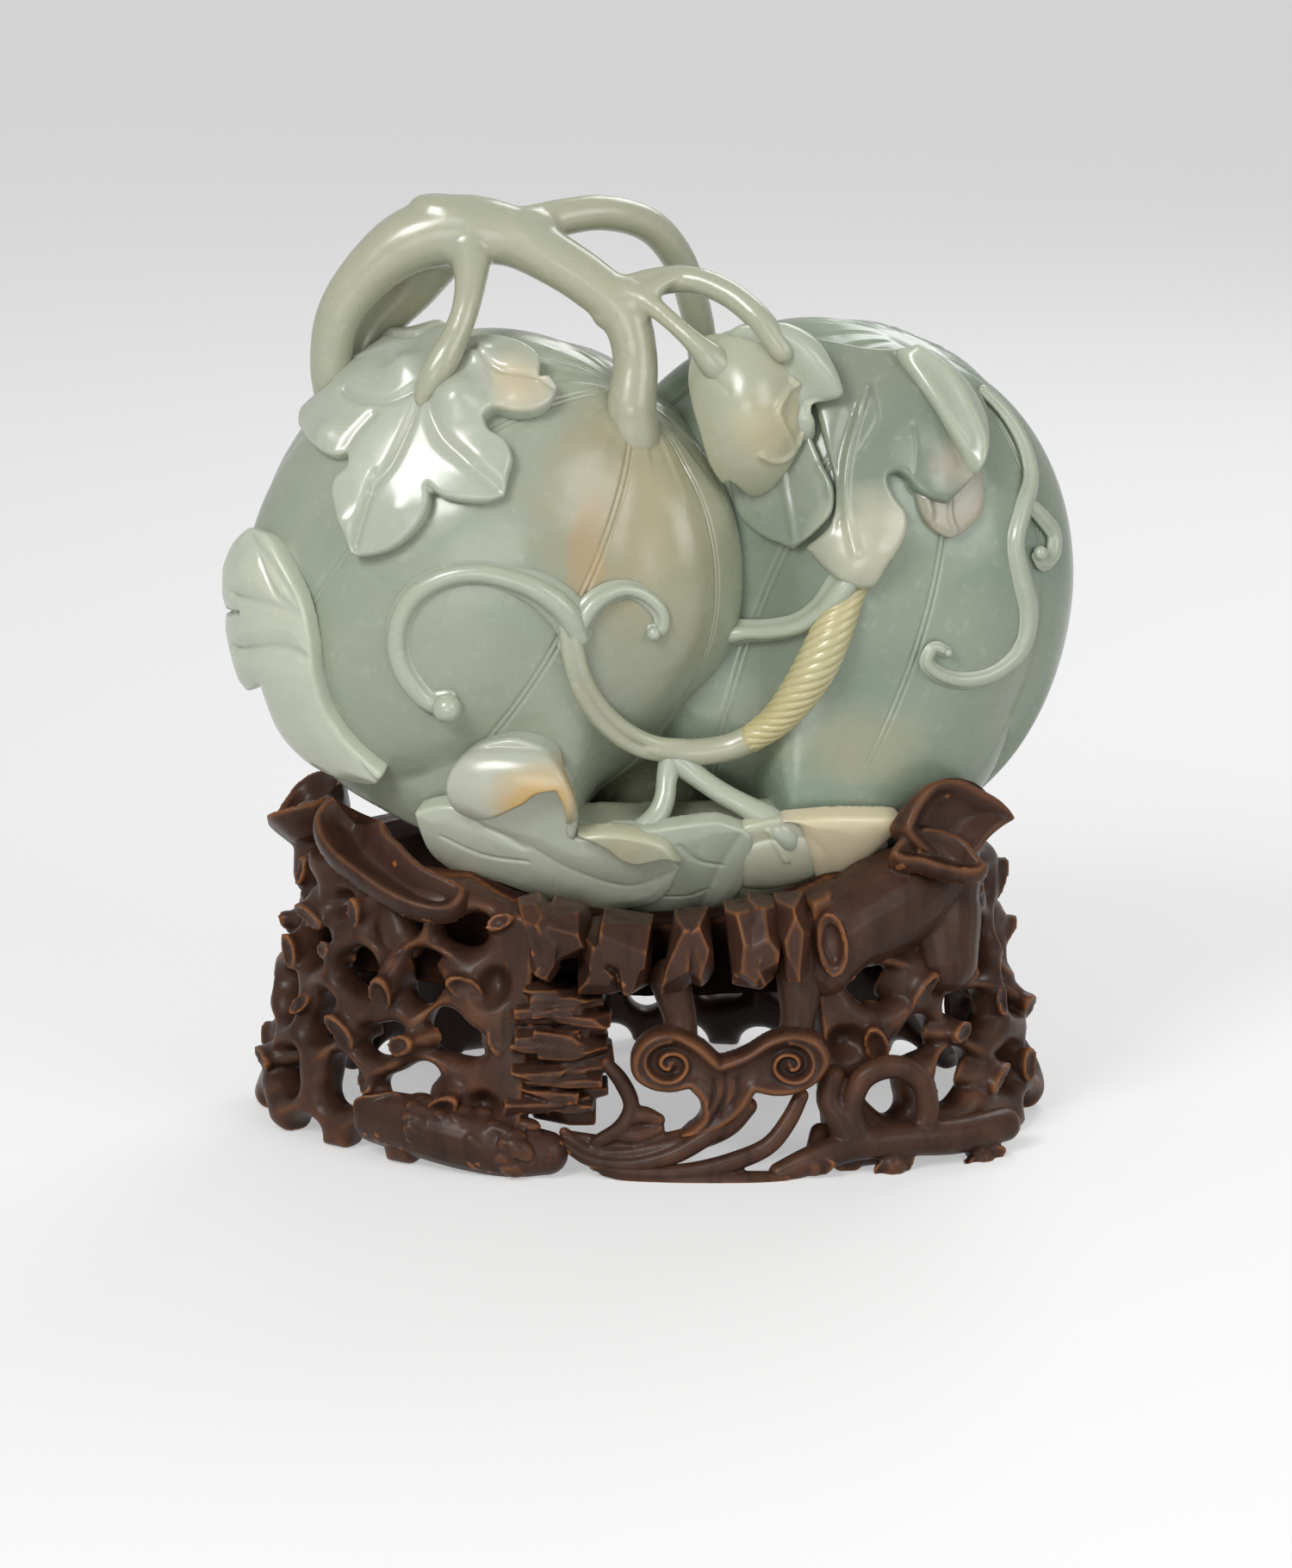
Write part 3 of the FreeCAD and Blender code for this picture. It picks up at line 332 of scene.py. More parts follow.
@dataclass
class Viewpoint:
    """The camera's place, and the rays that its pixels look along, in millimetres."""

    target: Row = (-0.4, 2.0, 69.5)
    elevation: float = math.radians(14.0)
    distance: float = 1100.0
    pixel: float = 0.18

    def place(self) -> np.ndarray:
        """Where the camera stands."""
        back = np.array([0.0, -math.cos(self.elevation), math.sin(self.elevation)])
        return np.array(self.target) + back * self.distance

    def rays(self, pixels: np.ndarray) -> np.ndarray:
        """The unit direction that each pixel looks in."""
        focal = self.distance / self.pixel
        right = (pixels[:, 0] - PHOTO_SIZE[0] / 2) / focal
        rise = (PHOTO_SIZE[1] / 2 - pixels[:, 1]) / focal
        cos, sin = math.cos(self.elevation), math.sin(self.elevation)
        return unit(np.stack([right, cos + rise * sin, rise * cos - sin], axis=1))

    def at_depth(self, pixels: np.ndarray, depth: float) -> np.ndarray:
        """The place that each pixel shows on the upright plane at a depth."""
        rays = self.rays(pixels)
        start = self.place()
        return start + rays * ((depth - start[1]) / rays[:, 1:2])

    def build(self) -> None:
        """Make the camera."""
        data = bpy.data.cameras.new("camera")
        data.sensor_fit = "VERTICAL"
        data.sensor_height = SENSOR_HEIGHT
        data.lens = self.distance / self.pixel / PHOTO_SIZE[1] * SENSOR_HEIGHT
        camera = bpy.data.objects.new("camera", data)
        bpy.context.collection.objects.link(camera)
        place = Vector(self.place()) * MM
        camera.location = place
        camera.rotation_euler = (Vector(self.target) * MM - place).to_track_quat("-Z", "Y").to_euler()
        bpy.context.scene.camera = camera


VIEW = Viewpoint()


def eased(share: np.ndarray) -> np.ndarray:
    """A share held between 0 and 1 that starts and stops gently."""
    held = np.clip(share, 0, 1)
    return held * held * (3 - 2 * held)


def hump(gap: np.ndarray, width: float, power: float = 2) -> np.ndarray:
    """A smooth hump over a gap to its middle: 1 at no gap, and nearly gone past its width.

    Args:
        gap: The gaps.
        width: The gap at which it has fallen to a third.
        power: How steep its sides are.

    Returns:
        The share of the hump's height at each gap.
    """
    return np.exp(-(gap / width) ** power)


@dataclass(frozen=True)
class Sway:
    """A stretch of a face that is carried off: where it starts and is full along X, how high, and how far."""

    start: float
    full: float
    middle: float
    reach: float
    shift: Row

    def carried(self, places: np.ndarray, front: np.ndarray) -> np.ndarray:
        """The places after the move, which only those on the front make."""
        share = eased((places[:, 0] - self.start) / (self.full - self.start)) * eased(front * 2)
        share *= hump(places[:, 2] - self.middle, self.reach, 4)
        return places + share[:, None] * np.array(self.shift)


@dataclass
class Skin:
    """An egg-shaped face that leaves and tendrils lie on, with a flat chart about its front."""

    centre: np.ndarray
    half: np.ndarray
    lean: float = 0.0
    sway: Sway | None = None

    def local(self, vectors: np.ndarray) -> np.ndarray:
        """Vectors turned into the egg's own axes."""
        cos, sin = math.cos(math.radians(self.lean)), math.sin(math.radians(self.lean))
        x, y, z = vectors.T
        return np.stack([x * cos - z * sin, y, x * sin + z * cos], axis=1)

    def world(self, vectors: np.ndarray) -> np.ndarray:
        """Vectors turned back from the egg's own axes."""
        cos, sin = math.cos(math.radians(self.lean)), math.sin(math.radians(self.lean))
        x, y, z = vectors.T
        return np.stack([x * cos + z * sin, y, z * cos - x * sin], axis=1)

    @property
    def scale(self) -> float:
        """Millimetres of chart to a radian."""
        return float(self.half[0] + self.half[2]) / 2

    def chart(self, pixels: Sequence[Row], lift: float = 0.0) -> np.ndarray:
        """The places on the chart that pixels of the photograph show, past the outline too.

        Args:
            pixels: The pixels.
            lift: How far the face is raised while it is looked at.

        Returns:
            The chart's places, two values a row.
        """
        shown = np.array([row[:2] for row in pixels], float)
        half = self.half + lift
        start = self.local((VIEW.place() - self.centre)[None])[0] / half
        rays = self.local(VIEW.rays(shown)) / half
        size = np.linalg.norm(rays, axis=1)
        rays /= size[:, None]
        middle = -(rays @ start)
        closest = start + rays * middle[:, None]
        gap = np.linalg.norm(closest, axis=1)
        reach = np.sqrt(np.maximum(1 - gap ** 2, 0))
        hit = unit(closest - rays * reach[:, None])
        excess = np.maximum(gap - 1, 0)
        angle = np.arccos(np.clip(-hit[:, 1], -1, 1)) + excess
        flat = unit(hit[:, [0, 2]])
        return flat * (angle * self.scale)[:, None]

    def place(self, chart: np.ndarray, lift: np.ndarray | float = 0.0) -> np.ndarray:
        """The place above each spot of the chart."""
        size = np.linalg.norm(chart, axis=1)
        angle = size / self.scale
        flat = chart / np.maximum(size, 1e-9)[:, None]
        sphere = np.stack([flat[:, 0] * np.sin(angle), -np.cos(angle), flat[:, 1] * np.sin(angle)], axis=1)
        normal = unit(sphere / self.half)
        raised = sphere * self.half + normal * np.reshape(lift, (-1, 1))
        return self.carried(self.world(raised) + self.centre, sphere)

    def carried(self, places: np.ndarray, sphere: np.ndarray) -> np.ndarray:
        """Places over the egg after its sway."""
        return self.sway.carried(places, -sphere[:, 1] + 0.2) if self.sway else places

    def normal(self, chart: np.ndarray) -> np.ndarray:
        """The outward direction at each spot of the chart."""
        return unit(self.place(chart, 1.0) - self.place(chart))

    def cleared(self, places: np.ndarray, gap: float) -> np.ndarray:
        """Places with those inside the egg pushed out to a gap over its face."""
        local = self.local(places - self.centre) / (self.half + gap)
        size = np.linalg.norm(local, axis=1)
        pushed = self.world(local / np.maximum(size, 1e-6)[:, None] * (self.half + gap)) + self.centre
        return np.where((size < 1)[:, None], pushed, places)


# The faces that the stand is fitted to
LEFT_SKIN = Skin(np.array([-32.4, -2.0, 114.1]), np.array([50.3, 33.0, 53.0]), 33.0,
                 Sway(-5.0, 15.0, 120.0, 28.0, (2.0, -6.5, 0.0)))
RIGHT_SKIN = Skin(np.array([36.4, 8.0, 111.2]), np.array([52.0, 34.0, 56.5]), 8.0,
                  Sway(40.0, 16.0, 124.0, 32.0, (0.0, 9.5, 0.0)))
BED_SKIN = Skin(np.array([6.0, -8.0, 121.0]), np.array([80.0, 32.0, 75.0]))
UNDER_SKIN = Skin(np.array([2.0, -7.0, 88.0]), np.array([76.0, 31.0, 46.5]))
UNDER_LOW = Skin(UNDER_SKIN.centre, UNDER_SKIN.half - 2.4)
FOLD_SKIN = Skin(np.array([26.0, -5.0, 157.0]), np.array([18.5, 14.5, 17.0]))
BUD_SKIN = Skin(np.array([20.2, -11.0, 151.4]), np.array([11.9, 12.5, 17.4]), -4.0)
SEATS = (LEFT_SKIN, RIGHT_SKIN, BED_SKIN, UNDER_SKIN)
SEAT_GAP = 0.3


# Finishes


class Graph:
    """A short way to write the nodes of one material."""

    def __init__(self, name: str) -> None:
        """Start a material with its principled shader."""
        self.material = bpy.data.materials.new(name)
        self.material.use_nodes = True
        self.tree = self.material.node_tree
        self.shader = self.tree.nodes["Principled BSDF"]
        self.places = self.tree.nodes.new("ShaderNodeTexCoord").outputs["Object"]

    def node(self, kind: str, inputs: dict[str, object], **settings: object) -> bpy.types.Node:
        """Add a node.

        Args:
            kind: The node's type.
            inputs: Values or sockets by input name or number.
            settings: The node's own settings.

        Returns:
            The new node.
        """
        node = self.tree.nodes.new(kind)
        for name, value in settings.items():
            setattr(node, name, value)
        for name, value in inputs.items():
            self.feed(node.inputs[name], value)
        return node

    def feed(self, socket: bpy.types.NodeSocket, value: object) -> None:
        """Link a socket, or set it to a plain value."""
        if isinstance(value, bpy.types.NodeSocket):
            self.tree.links.new(value, socket)
        else:
            socket.default_value = value

    def math(self, kind: str, *values: object) -> bpy.types.NodeSocket:
        """The result of a sum on up to three values."""
        return self.node("ShaderNodeMath", dict(enumerate(values)), operation=kind).outputs[0]

    def noise(self, scale: float, detail: float = 3.0, squeeze: Row = (1, 1, 1), distortion: float = 0.0,
              offset: Row = (0, 0, 0)) -> bpy.types.NodeSocket:
        """A cloudy pattern of the given fineness."""
        mapped = self.node("ShaderNodeMapping", {"Vector": self.places, "Scale": squeeze, "Location": offset})
        found = self.node("ShaderNodeTexNoise", {
            "Vector": mapped.outputs[0], "Scale": scale, "Detail": detail, "Distortion": distortion})
        return found.outputs["Fac"]

    def ramp(self, value: object, stops: Sequence[tuple[float, float]]) -> bpy.types.NodeSocket:
        """Bend a value through stops, each a place and the grey there."""
        found = self.node("ShaderNodeValToRGB", {"Fac": value})
        elements = found.color_ramp.elements
        for number, (place, grey) in enumerate(stops):
            element = elements[number] if number < 2 else elements.new(place)
            element.position = place
            element.color = (grey, grey, grey, 1)
        return found.outputs["Color"]

    def length(self, vector: bpy.types.NodeSocket) -> bpy.types.NodeSocket:
        """The length of a vector."""
        return self.node("ShaderNodeVectorMath", {0: vector}, operation="LENGTH").outputs["Value"]

    def mix(self, share: object, first: object, second: object) -> bpy.types.NodeSocket:
        """Blend two colours."""
        node = self.node("ShaderNodeMix", {}, data_type="RGBA")
        self.feed(node.inputs["Factor"], share)
        self.feed(node.inputs["A"], first if isinstance(first, bpy.types.NodeSocket) else (*first, 1))
        self.feed(node.inputs["B"], second if isinstance(second, bpy.types.NodeSocket) else (*second, 1))
        return node.outputs["Result"]

    def bump(self, height: bpy.types.NodeSocket, depth: float, normal: object = None) -> bpy.types.NodeSocket:
        """Raise the surface by a pattern, by a depth in millimetres."""
        inputs: dict[str, object] = {"Height": height, "Distance": depth * MM, "Strength": 1.0}
        if normal is not None:
            inputs["Normal"] = normal
        return self.node("ShaderNodeBump", inputs).outputs["Normal"]


def seen_by_eye(tree: bpy.types.NodeTree) -> bpy.types.NodeSocket:
    """1 where the camera sees a surface, also in a mirror or through glass, and 0 for light it casts."""
    rays = tree.nodes.new("ShaderNodeLightPath")
    found = rays.outputs["Is Camera Ray"]
    for kind in ("Is Glossy Ray", "Is Transmission Ray"):
        most = tree.nodes.new("ShaderNodeMath")
        most.operation = "MAXIMUM"
        tree.links.new(found, most.inputs[0])
        tree.links.new(rays.outputs[kind], most.inputs[1])
        found = most.outputs[0]
    return found


@dataclass(frozen=True)
class Patch:
    """A stain in the stone: its middle and reach in millimetres, its colour, strength and ragged edge."""

    middle: Row
    reach: Row
    colour: Row
    strength: float = 0.8
    ragged: float = 0.8


@dataclass(frozen=True)
class Jade:
    """Polished translucent jade with clouds and stains."""

    name: str
    colour: Row
    cloud: Row
    cloudiness: float = 0.5
    patches: tuple[Patch, ...] = ()
    groove: Row = ()
    matt: float = 0.0
    rough: float = 0.21
    bend: float = 1.61
    glow: float = 0.35
    glow_depth: float = 3.5
    glow_spread: Row = (1.0, 1.15, 0.8)
    coat: float = 0.16
    coat_rough: float = 0.15
    fleck: Row = (0.8, 0.82, 0.74)

    def material(self) -> bpy.types.Material:
        """Build the material."""
        graph = Graph(self.name)
        clouds = graph.ramp(graph.noise(38, 4, distortion=0.6), [(0.38, 0.0), (0.68, 1.0)])
        colour = graph.mix(graph.math("MULTIPLY", clouds, self.cloudiness), self.colour, self.cloud)
        flecks = graph.ramp(graph.noise(420, 2), [(0.6, 0.0), (0.8, 1.0)])
        colour = graph.mix(graph.math("MULTIPLY", flecks, 0.12), colour, self.fleck)
        ragged = graph.math("SUBTRACT", graph.noise(85, 5, distortion=0.4), 0.5)
        for patch in self.patches:
            colour = graph.mix(self._stain(graph, patch, ragged), colour, patch.colour)
        if self.groove:
            edge = graph.node("ShaderNodeNewGeometry", {}).outputs["Pointiness"]
            colour = graph.mix(graph.ramp(edge, [(0.44, 1.0), (0.5, 0.0)]), colour, self.groove)
        graph.feed(graph.shader.inputs["Base Color"], colour)
        graph.feed(graph.shader.inputs["Roughness"], graph.math(
            "MULTIPLY_ADD", graph.noise(60, 3, offset=(3, 1, 2)), 0.12, self.rough + self.matt))
        shader = graph.shader.inputs
        shader["IOR"].default_value = self.bend
        shader["Subsurface Weight"].default_value = self.glow
        shader["Subsurface Radius"].default_value = self.glow_spread
        shader["Subsurface Scale"].default_value = self.glow_depth * MM
        shader["Coat Weight"].default_value = 0.0 if self.matt else self.coat
        shader["Coat Roughness"].default_value = self.coat_rough
        wave = graph.bump(graph.noise(75, 2, offset=(5, 2, 7)), 0.5)
        graph.feed(graph.shader.inputs["Normal"], graph.bump(graph.noise(900, 3), 0.012, wave))
        return graph.material

    def _stain(self, graph: Graph, patch: Patch, ragged: bpy.types.NodeSocket) -> bpy.types.NodeSocket:
        """How strongly a stain shows at each place."""
        scale = tuple(1 / (reach * MM) for reach in patch.reach)
        offset = tuple(-middle / reach for middle, reach in zip(patch.middle, patch.reach))
        local = graph.node("ShaderNodeMapping", {"Vector": graph.places, "Location": offset, "Scale": scale})
        length = graph.length(local.outputs[0])
        edge = graph.math("MULTIPLY_ADD", ragged, patch.ragged * 2, length)
        inside = graph.ramp(edge, [(0.45, 1.0), (1.0, 0.0)])
        return graph.math("MULTIPLY", inside, patch.strength)


@dataclass(frozen=True)
class Wood:
    """Dark waxed hardwood, worn paler along its edges, with painted shade in its creases and inside the
    openwork.
    """

    name: str
    colour: Row = (0.042, 0.019, 0.012)
    # deep: the dark of the grain streaks, also used as painted shade in creases and inside the openwork
    deep: Row = (0.006, 0.003, 0.0025)
    worn: Row = (0.26, 0.10, 0.034)
    rough: float = 0.24
    shine: float = 0.16
    coat: float = 0.07

    def material(self) -> bpy.types.Material:
        """Build the material."""
        graph = Graph(self.name)
        edge = graph.node("ShaderNodeNewGeometry", {}).outputs["Pointiness"]
        tone = graph.noise(45, 5, distortion=0.8)
        grain = graph.noise(260, 6, squeeze=(1, 1, 0.18), distortion=0.4)
        base = graph.mix(graph.ramp(tone, [(0.3, 0.0), (0.75, 1.0)]), self.colour,
                         tuple(value * 1.8 for value in self.colour))
        streaks = graph.math("MULTIPLY", graph.ramp(grain, [(0.45, 0.0), (0.7, 1.0)]), 0.45)
        base = graph.mix(streaks, base, self.deep)
        lifted = graph.math("ADD", edge, graph.math("MULTIPLY", graph.math("SUBTRACT", tone, 0.5), 0.06))
        base = graph.mix(graph.ramp(lifted, [(0.512, 0.0), (0.575, 1.0)]), base, self.worn)
        # Painted shade: darker where the surface folds inward, in creases and hollows
        base = graph.mix(graph.ramp(edge, [(0.42, 1.0), (0.49, 0.0)]), base, self.deep)
        # Painted shade: darker inside the oval of the wall and below about 50 mm
        base = graph.mix(self._painted_inside_shade(graph), base, self.deep)
        graph.feed(graph.shader.inputs["Base Color"], base)
        graph.feed(graph.shader.inputs["Roughness"], graph.math("MULTIPLY_ADD", grain, 0.3, self.rough))
        shader = graph.shader.inputs
        shader["Specular IOR Level"].default_value = self.shine
        shader["Coat Weight"].default_value = self.coat
        shader["Coat Roughness"].default_value = 0.25
        fine = graph.bump(grain, 0.12)
        coarse = graph.noise(120, 4, offset=(1, 5, 2))
        graph.feed(shader["Normal"], graph.bump(coarse, 0.3, fine))
        return graph.material

    def _painted_inside_shade(self, graph: Graph) -> bpy.types.NodeSocket:
        """How far a place lies within the openwork, where the wood is darkened as painted shade."""
        scale = (1 / (WALL.half_width * MM), 1 / (WALL.half_depth * MM), 0)
        flat = graph.node("ShaderNodeMapping", {"Vector": graph.places, "Scale": scale}).outputs[0]
        reach = graph.length(flat)
        height = graph.node("ShaderNodeSeparateXYZ", {0: graph.places}).outputs["Z"]
        low = graph.ramp(graph.math("MULTIPLY", height, 10.0), [(0.44, 1.0), (0.54, 0.0)])
        return graph.math("MULTIPLY", graph.ramp(reach, [(0.74, 1.0), (0.84, 0.0)]), low)


# Building


class Maker:
    """Common ground of the sub-assemblies: the body that they ride on and their material slot."""

    body: Body
    slot: Slot

    def settle(self, name: str, mesh: bpy.types.Mesh, finish: Jade | Wood, *nodes: str) -> None:
        """Turn a finished shape into a piece of the scene.

        Args:
            name: The piece's name.
            mesh: Its shape, in millimetres.
            finish: Its finish.
            nodes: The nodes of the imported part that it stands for.
        """
        places = coordinates(mesh)
        if self.body is Body.STAND:
            for seat in SEATS:
                places = seat.cleared(places, SEAT_GAP)
            places[:, 2] = np.maximum(places[:, 2], 0)
        move_to(mesh, places * MM)
        name = f"carved_{name}"
        mesh.name = name
        mesh.materials.clear()
        material = bpy.data.materials.get(finish.name) or finish.material()
        mesh.materials.append(material)
        mesh.shade_smooth()
        piece = bpy.data.objects.new(name, mesh)
        bpy.context.collection.objects.link(piece)
        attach(piece, self.body.value)
        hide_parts(*nodes)
        log.info("%s: %d faces", name, len(mesh.polygons))

    def lay(self, form: "Leaf | Tendril", skin: "Skin | Panel", finish: Jade | Wood) -> None:
        """Model a leaf or a tendril on a face and settle it in place of the node that has its name."""
        self.settle(form.name, form.mesh(skin), finish, form.name)


class JadeMaker(Maker):
    """A maker of pieces of the carving."""

    body = Body.CARVING
    slot = Slot.JADE


class WoodMaker(Maker):
    """A maker of pieces of the stand."""

    body = Body.STAND
    slot = Slot.WOOD


STAIN = (0.43, 0.37, 0.23)
RUSSET = (0.50, 0.31, 0.15)
PALE = Jade("jade_pale", (0.40, 0.44, 0.34), (0.47, 0.49, 0.39))
LEFT_FACE = Jade("jade_left_melon", (0.31, 0.35, 0.265), (0.365, 0.385, 0.295), 0.6, (
    Patch((2.0, -28.0, 132.0), (27.0, 24.0, 42.0), (0.33, 0.31, 0.18), 0.7, 0.35),
    Patch((-6.0, -30.0, 134.0), (19.0, 20.0, 22.0), STAIN, 0.55, 0.6),
    Patch((-12.0, -30.0, 127.0), (5.0, 20.0, 12.0), RUSSET, 0.45, 0.8)))
RIGHT_FACE = Jade("jade_right_melon", (0.235, 0.295, 0.225), (0.34, 0.37, 0.27), 0.7, (
    # Painted shade: darker green where the right melon lies deep between the left melon and the twisted stem
    Patch((25.0, -24.0, 112.0), (14.0, 20.0, 29.0), (0.14, 0.165, 0.11), 0.6, 0.4),
    # Painted shade: near black in the hollow by the forks
    Patch((12.0, -14.0, 68.0), (9.0, 14.0, 10.0), (0.05, 0.05, 0.025), 0.95, 0.3),
    Patch((42.0, -20.0, 84.0), (22.0, 20.0, 9.0), (0.38, 0.36, 0.22), 0.6, 0.7),))
LEAFY = Jade("jade_leaf", (0.50, 0.54, 0.43), (0.57, 0.58, 0.46))
UPPER = Jade("jade_upper_leaf", (0.42, 0.455, 0.37), (0.49, 0.50, 0.40), 0.5, (
    Patch((-26.0, -28.0, 161.0), (9.0, 14.0, 9.0), (0.60, 0.52, 0.35), 0.8, 0.5),))
# The large right leaf's dark green; the small middle leaf takes it too, as painted shade
RUNNING_LEAF_AND_SHADE = Jade("jade_running_leaf_and_shade", (0.21, 0.25, 0.19), (0.30, 0.32, 0.24), 0.6, (
    Patch((46.0, -26.0, 126.0), (15.0, 20.0, 13.0), (0.50, 0.50, 0.37), 0.95, 0.3),
    Patch((63.0, -16.0, 141.0), (9.0, 14.0, 7.0), (0.46, 0.42, 0.33), 0.8, 0.5)))
SHADED = Jade("jade_shaded", (0.48, 0.50, 0.37), (0.54, 0.54, 0.40))
BED = Jade("jade_bed", (0.48, 0.50, 0.37), (0.54, 0.54, 0.40), 0.5, (
    # Painted shade: near black along the bed's top edge in the hollow by the forks
    Patch((6.0, -15.0, 69.0), (26.0, 20.0, 6.0), (0.07, 0.07, 0.04), 0.95, 0.15),))
HONEY = Jade("jade_honey", (0.45, 0.46, 0.33), (0.50, 0.46, 0.29), 0.8)
VINE = Jade("jade_vine", (0.385, 0.40, 0.295), (0.43, 0.42, 0.29), 0.7)
ROPE = Jade("jade_rope", (0.52, 0.48, 0.26), (0.54, 0.46, 0.21), 0.6, (), (0.40, 0.27, 0.08))
HOOD = Jade("jade_hood", (0.46, 0.48, 0.40), (0.50, 0.49, 0.38), 0.5, (
    Patch((-22.0, -36.0, 77.0), (12.0, 16.0, 9.0), (0.54, 0.36, 0.13), 0.95, 0.35),))
CREAM = Jade("jade_cream", (0.66, 0.58, 0.39), (0.62, 0.58, 0.43))
# Near-black matt jade for the hollow behind the forks: painted shade
HOLLOW_SHADE = Jade("jade_hollow_shade", (0.08, 0.085, 0.045), (0.10, 0.10, 0.05), matt=0.5)
BUD = Jade("jade_bud", (0.42, 0.44, 0.32), (0.46, 0.45, 0.31), 0.6, (
    Patch((25.0, -26.0, 149.0), (9.0, 12.0, 10.0), (0.52, 0.47, 0.29), 0.75, 0.5),))
WEB = Jade("jade_web", (0.34, 0.33, 0.25), (0.42, 0.34, 0.25), 0.9)
BARK = Wood("wood_dark")
# The seat's wood: rougher and without sheen, and darker as painted shade under the carving
SHADED_SEAT = Wood("wood_shaded_seat", (0.024, 0.011, 0.008), worn=(0.18, 0.07, 0.026), rough=0.6, shine=0.02, coat=0.0)


@dataclass
class Melon(JadeMaker):
    """A lobed melon with double engraved lines between its lobes.

    The lines that show run from the stem end through the places that pixels of the photograph show.
    """

    node: str
    skin: Skin
    pole: Row
    seen: Sequence[Row]
    finish: Jade
    hidden: int = 4
    line_gap: float = 0.55
    line_width: float = 0.26
    line_depth: float = 0.3
    valley_width: float = 8.0
    valley_depth: float = 1.3
    segments: int = 40
    rings: int = 150
    skirt_top: float = 104.0
    skirt_reach: float = 34.0
    skirt_back: float = 4.3
    crowding: float = 0.24
    dimple_depth: float = 2.2
    dimple_reach: float = 0.02
    hollow_middle: float = 6.3
    hollow_half: float = 15.5

    def build(self) -> None:
        """Model the melon and settle it."""
        self.stem = self._direction(self.pole)
        self.side = unit(np.cross(self.stem, [0.0, -1.0, 0.0]))
        self.front = np.cross(self.side, self.stem)
        self.lines = self._lines()
        shape = bmesh.new()
        bmesh.ops.create_uvsphere(
            shape, u_segments=self.segments * (len(self.lines) - 1), v_segments=self.rings, radius=1)
        mesh = as_mesh(shape)
        sphere = coordinates(mesh)
        turn = self._gather(np.arctan2(sphere[:, 1], sphere[:, 0]))
        round_share = np.linalg.norm(sphere[:, :2], axis=1)
        sphere = (self.side * (round_share * np.cos(turn))[:, None] + self.stem * sphere[:, 2:3]
                  + self.front * (round_share * np.sin(turn))[:, None])
        depth = self._relief(turn, round_share * float(self.skin.half.mean()))
        dimple = self.dimple_depth * np.exp(-((1 - np.abs(sphere @ self.stem)) / self.dimple_reach))
        places = sphere * self.skin.half - unit(sphere / self.skin.half) * (depth + dimple)[:, None]
        places = self.skin.carried(self.skin.world(places) + self.skin.centre, sphere)
        move_to(mesh, self._skirted(places, sphere))
        self.settle(self.node, mesh, self.finish, self.node)

    def _skirted(self, places: np.ndarray, sphere: np.ndarray) -> np.ndarray:
        """The lower front brought forward to meet the leaves beneath, but not at the hollows by the forks."""
        x, y, z = ((places - UNDER_LOW.centre) / UNDER_LOW.half).T
        face = UNDER_LOW.centre[1] - UNDER_LOW.half[1] * np.sqrt(np.clip(1 - x ** 2 - z ** 2, 0, 1))
        face += self.skirt_back
        share = eased((self.skirt_top - places[:, 2]) / self.skirt_reach) * eased(-sphere[:, 1] * 3 + 0.3)
        share *= eased((np.abs(places[:, 0] - self.hollow_middle) - self.hollow_half) / 8)
        places[:, 1] += share * np.minimum(face - places[:, 1], 0)
        return places

    def _direction(self, pixel: Row) -> np.ndarray:
        """The place that a pixel shows, on the unit sphere of the egg's own axes."""
        place = self.skin.place(self.skin.chart([pixel])) - self.skin.centre
        return unit(self.skin.local(place)[0] / self.skin.half)

    def _lines(self) -> np.ndarray:
        """The turns at which the lobes meet, with the first one again at the end."""
        spots = [self._direction(pixel) for pixel in self.seen]
        turns = sorted(math.atan2(float(spot @ self.front), float(spot @ self.side)) for spot in spots)
        gaps = np.diff(turns + [turns[0] + 2 * math.pi])
        widest = int(np.argmax(gaps))
        turns += [turns[widest] + gaps[widest] * (number + 1) / (self.hidden + 1)
                  for number in range(self.hidden)]
        turns = sorted(turn % (2 * math.pi) for turn in turns)
        return np.array(turns + [turns[0] + 2 * math.pi])

    def _gather(self, turn: np.ndarray) -> np.ndarray:
        """Crowd the meridians together beside the lines between lobes."""
        place = turn % (2 * math.pi) / (2 * math.pi) * (len(self.lines) - 1)
        lobe = np.minimum(place.astype(int), len(self.lines) - 2)
        share = place - lobe
        near = np.minimum(share, 1 - share)
        crowded = self.crowding * near + 4 * (1 - self.crowding) * near ** 3
        crowded = np.where(share < 0.5, crowded, 1 - crowded)
        return self.lines[lobe] + crowded * np.diff(self.lines)[lobe]

    def _relief(self, turn: np.ndarray, girth: np.ndarray) -> np.ndarray:
        """How far the face lies under the plain egg form."""
        depth = np.zeros(len(turn))
        for line in self.lines[:-1]:
            gap = (turn - line + math.pi) % (2 * math.pi) - math.pi
            across = gap * girth
            near = np.abs(gap) < 0.6
            lines = hump(np.abs(across) - self.line_gap, self.line_width)
            valley = hump(across, self.valley_width)
            fade = np.clip((girth - 6) / 10, 0, 1)
            depth += near * fade * (self.line_depth * lines + self.valley_depth * valley)
        return depth


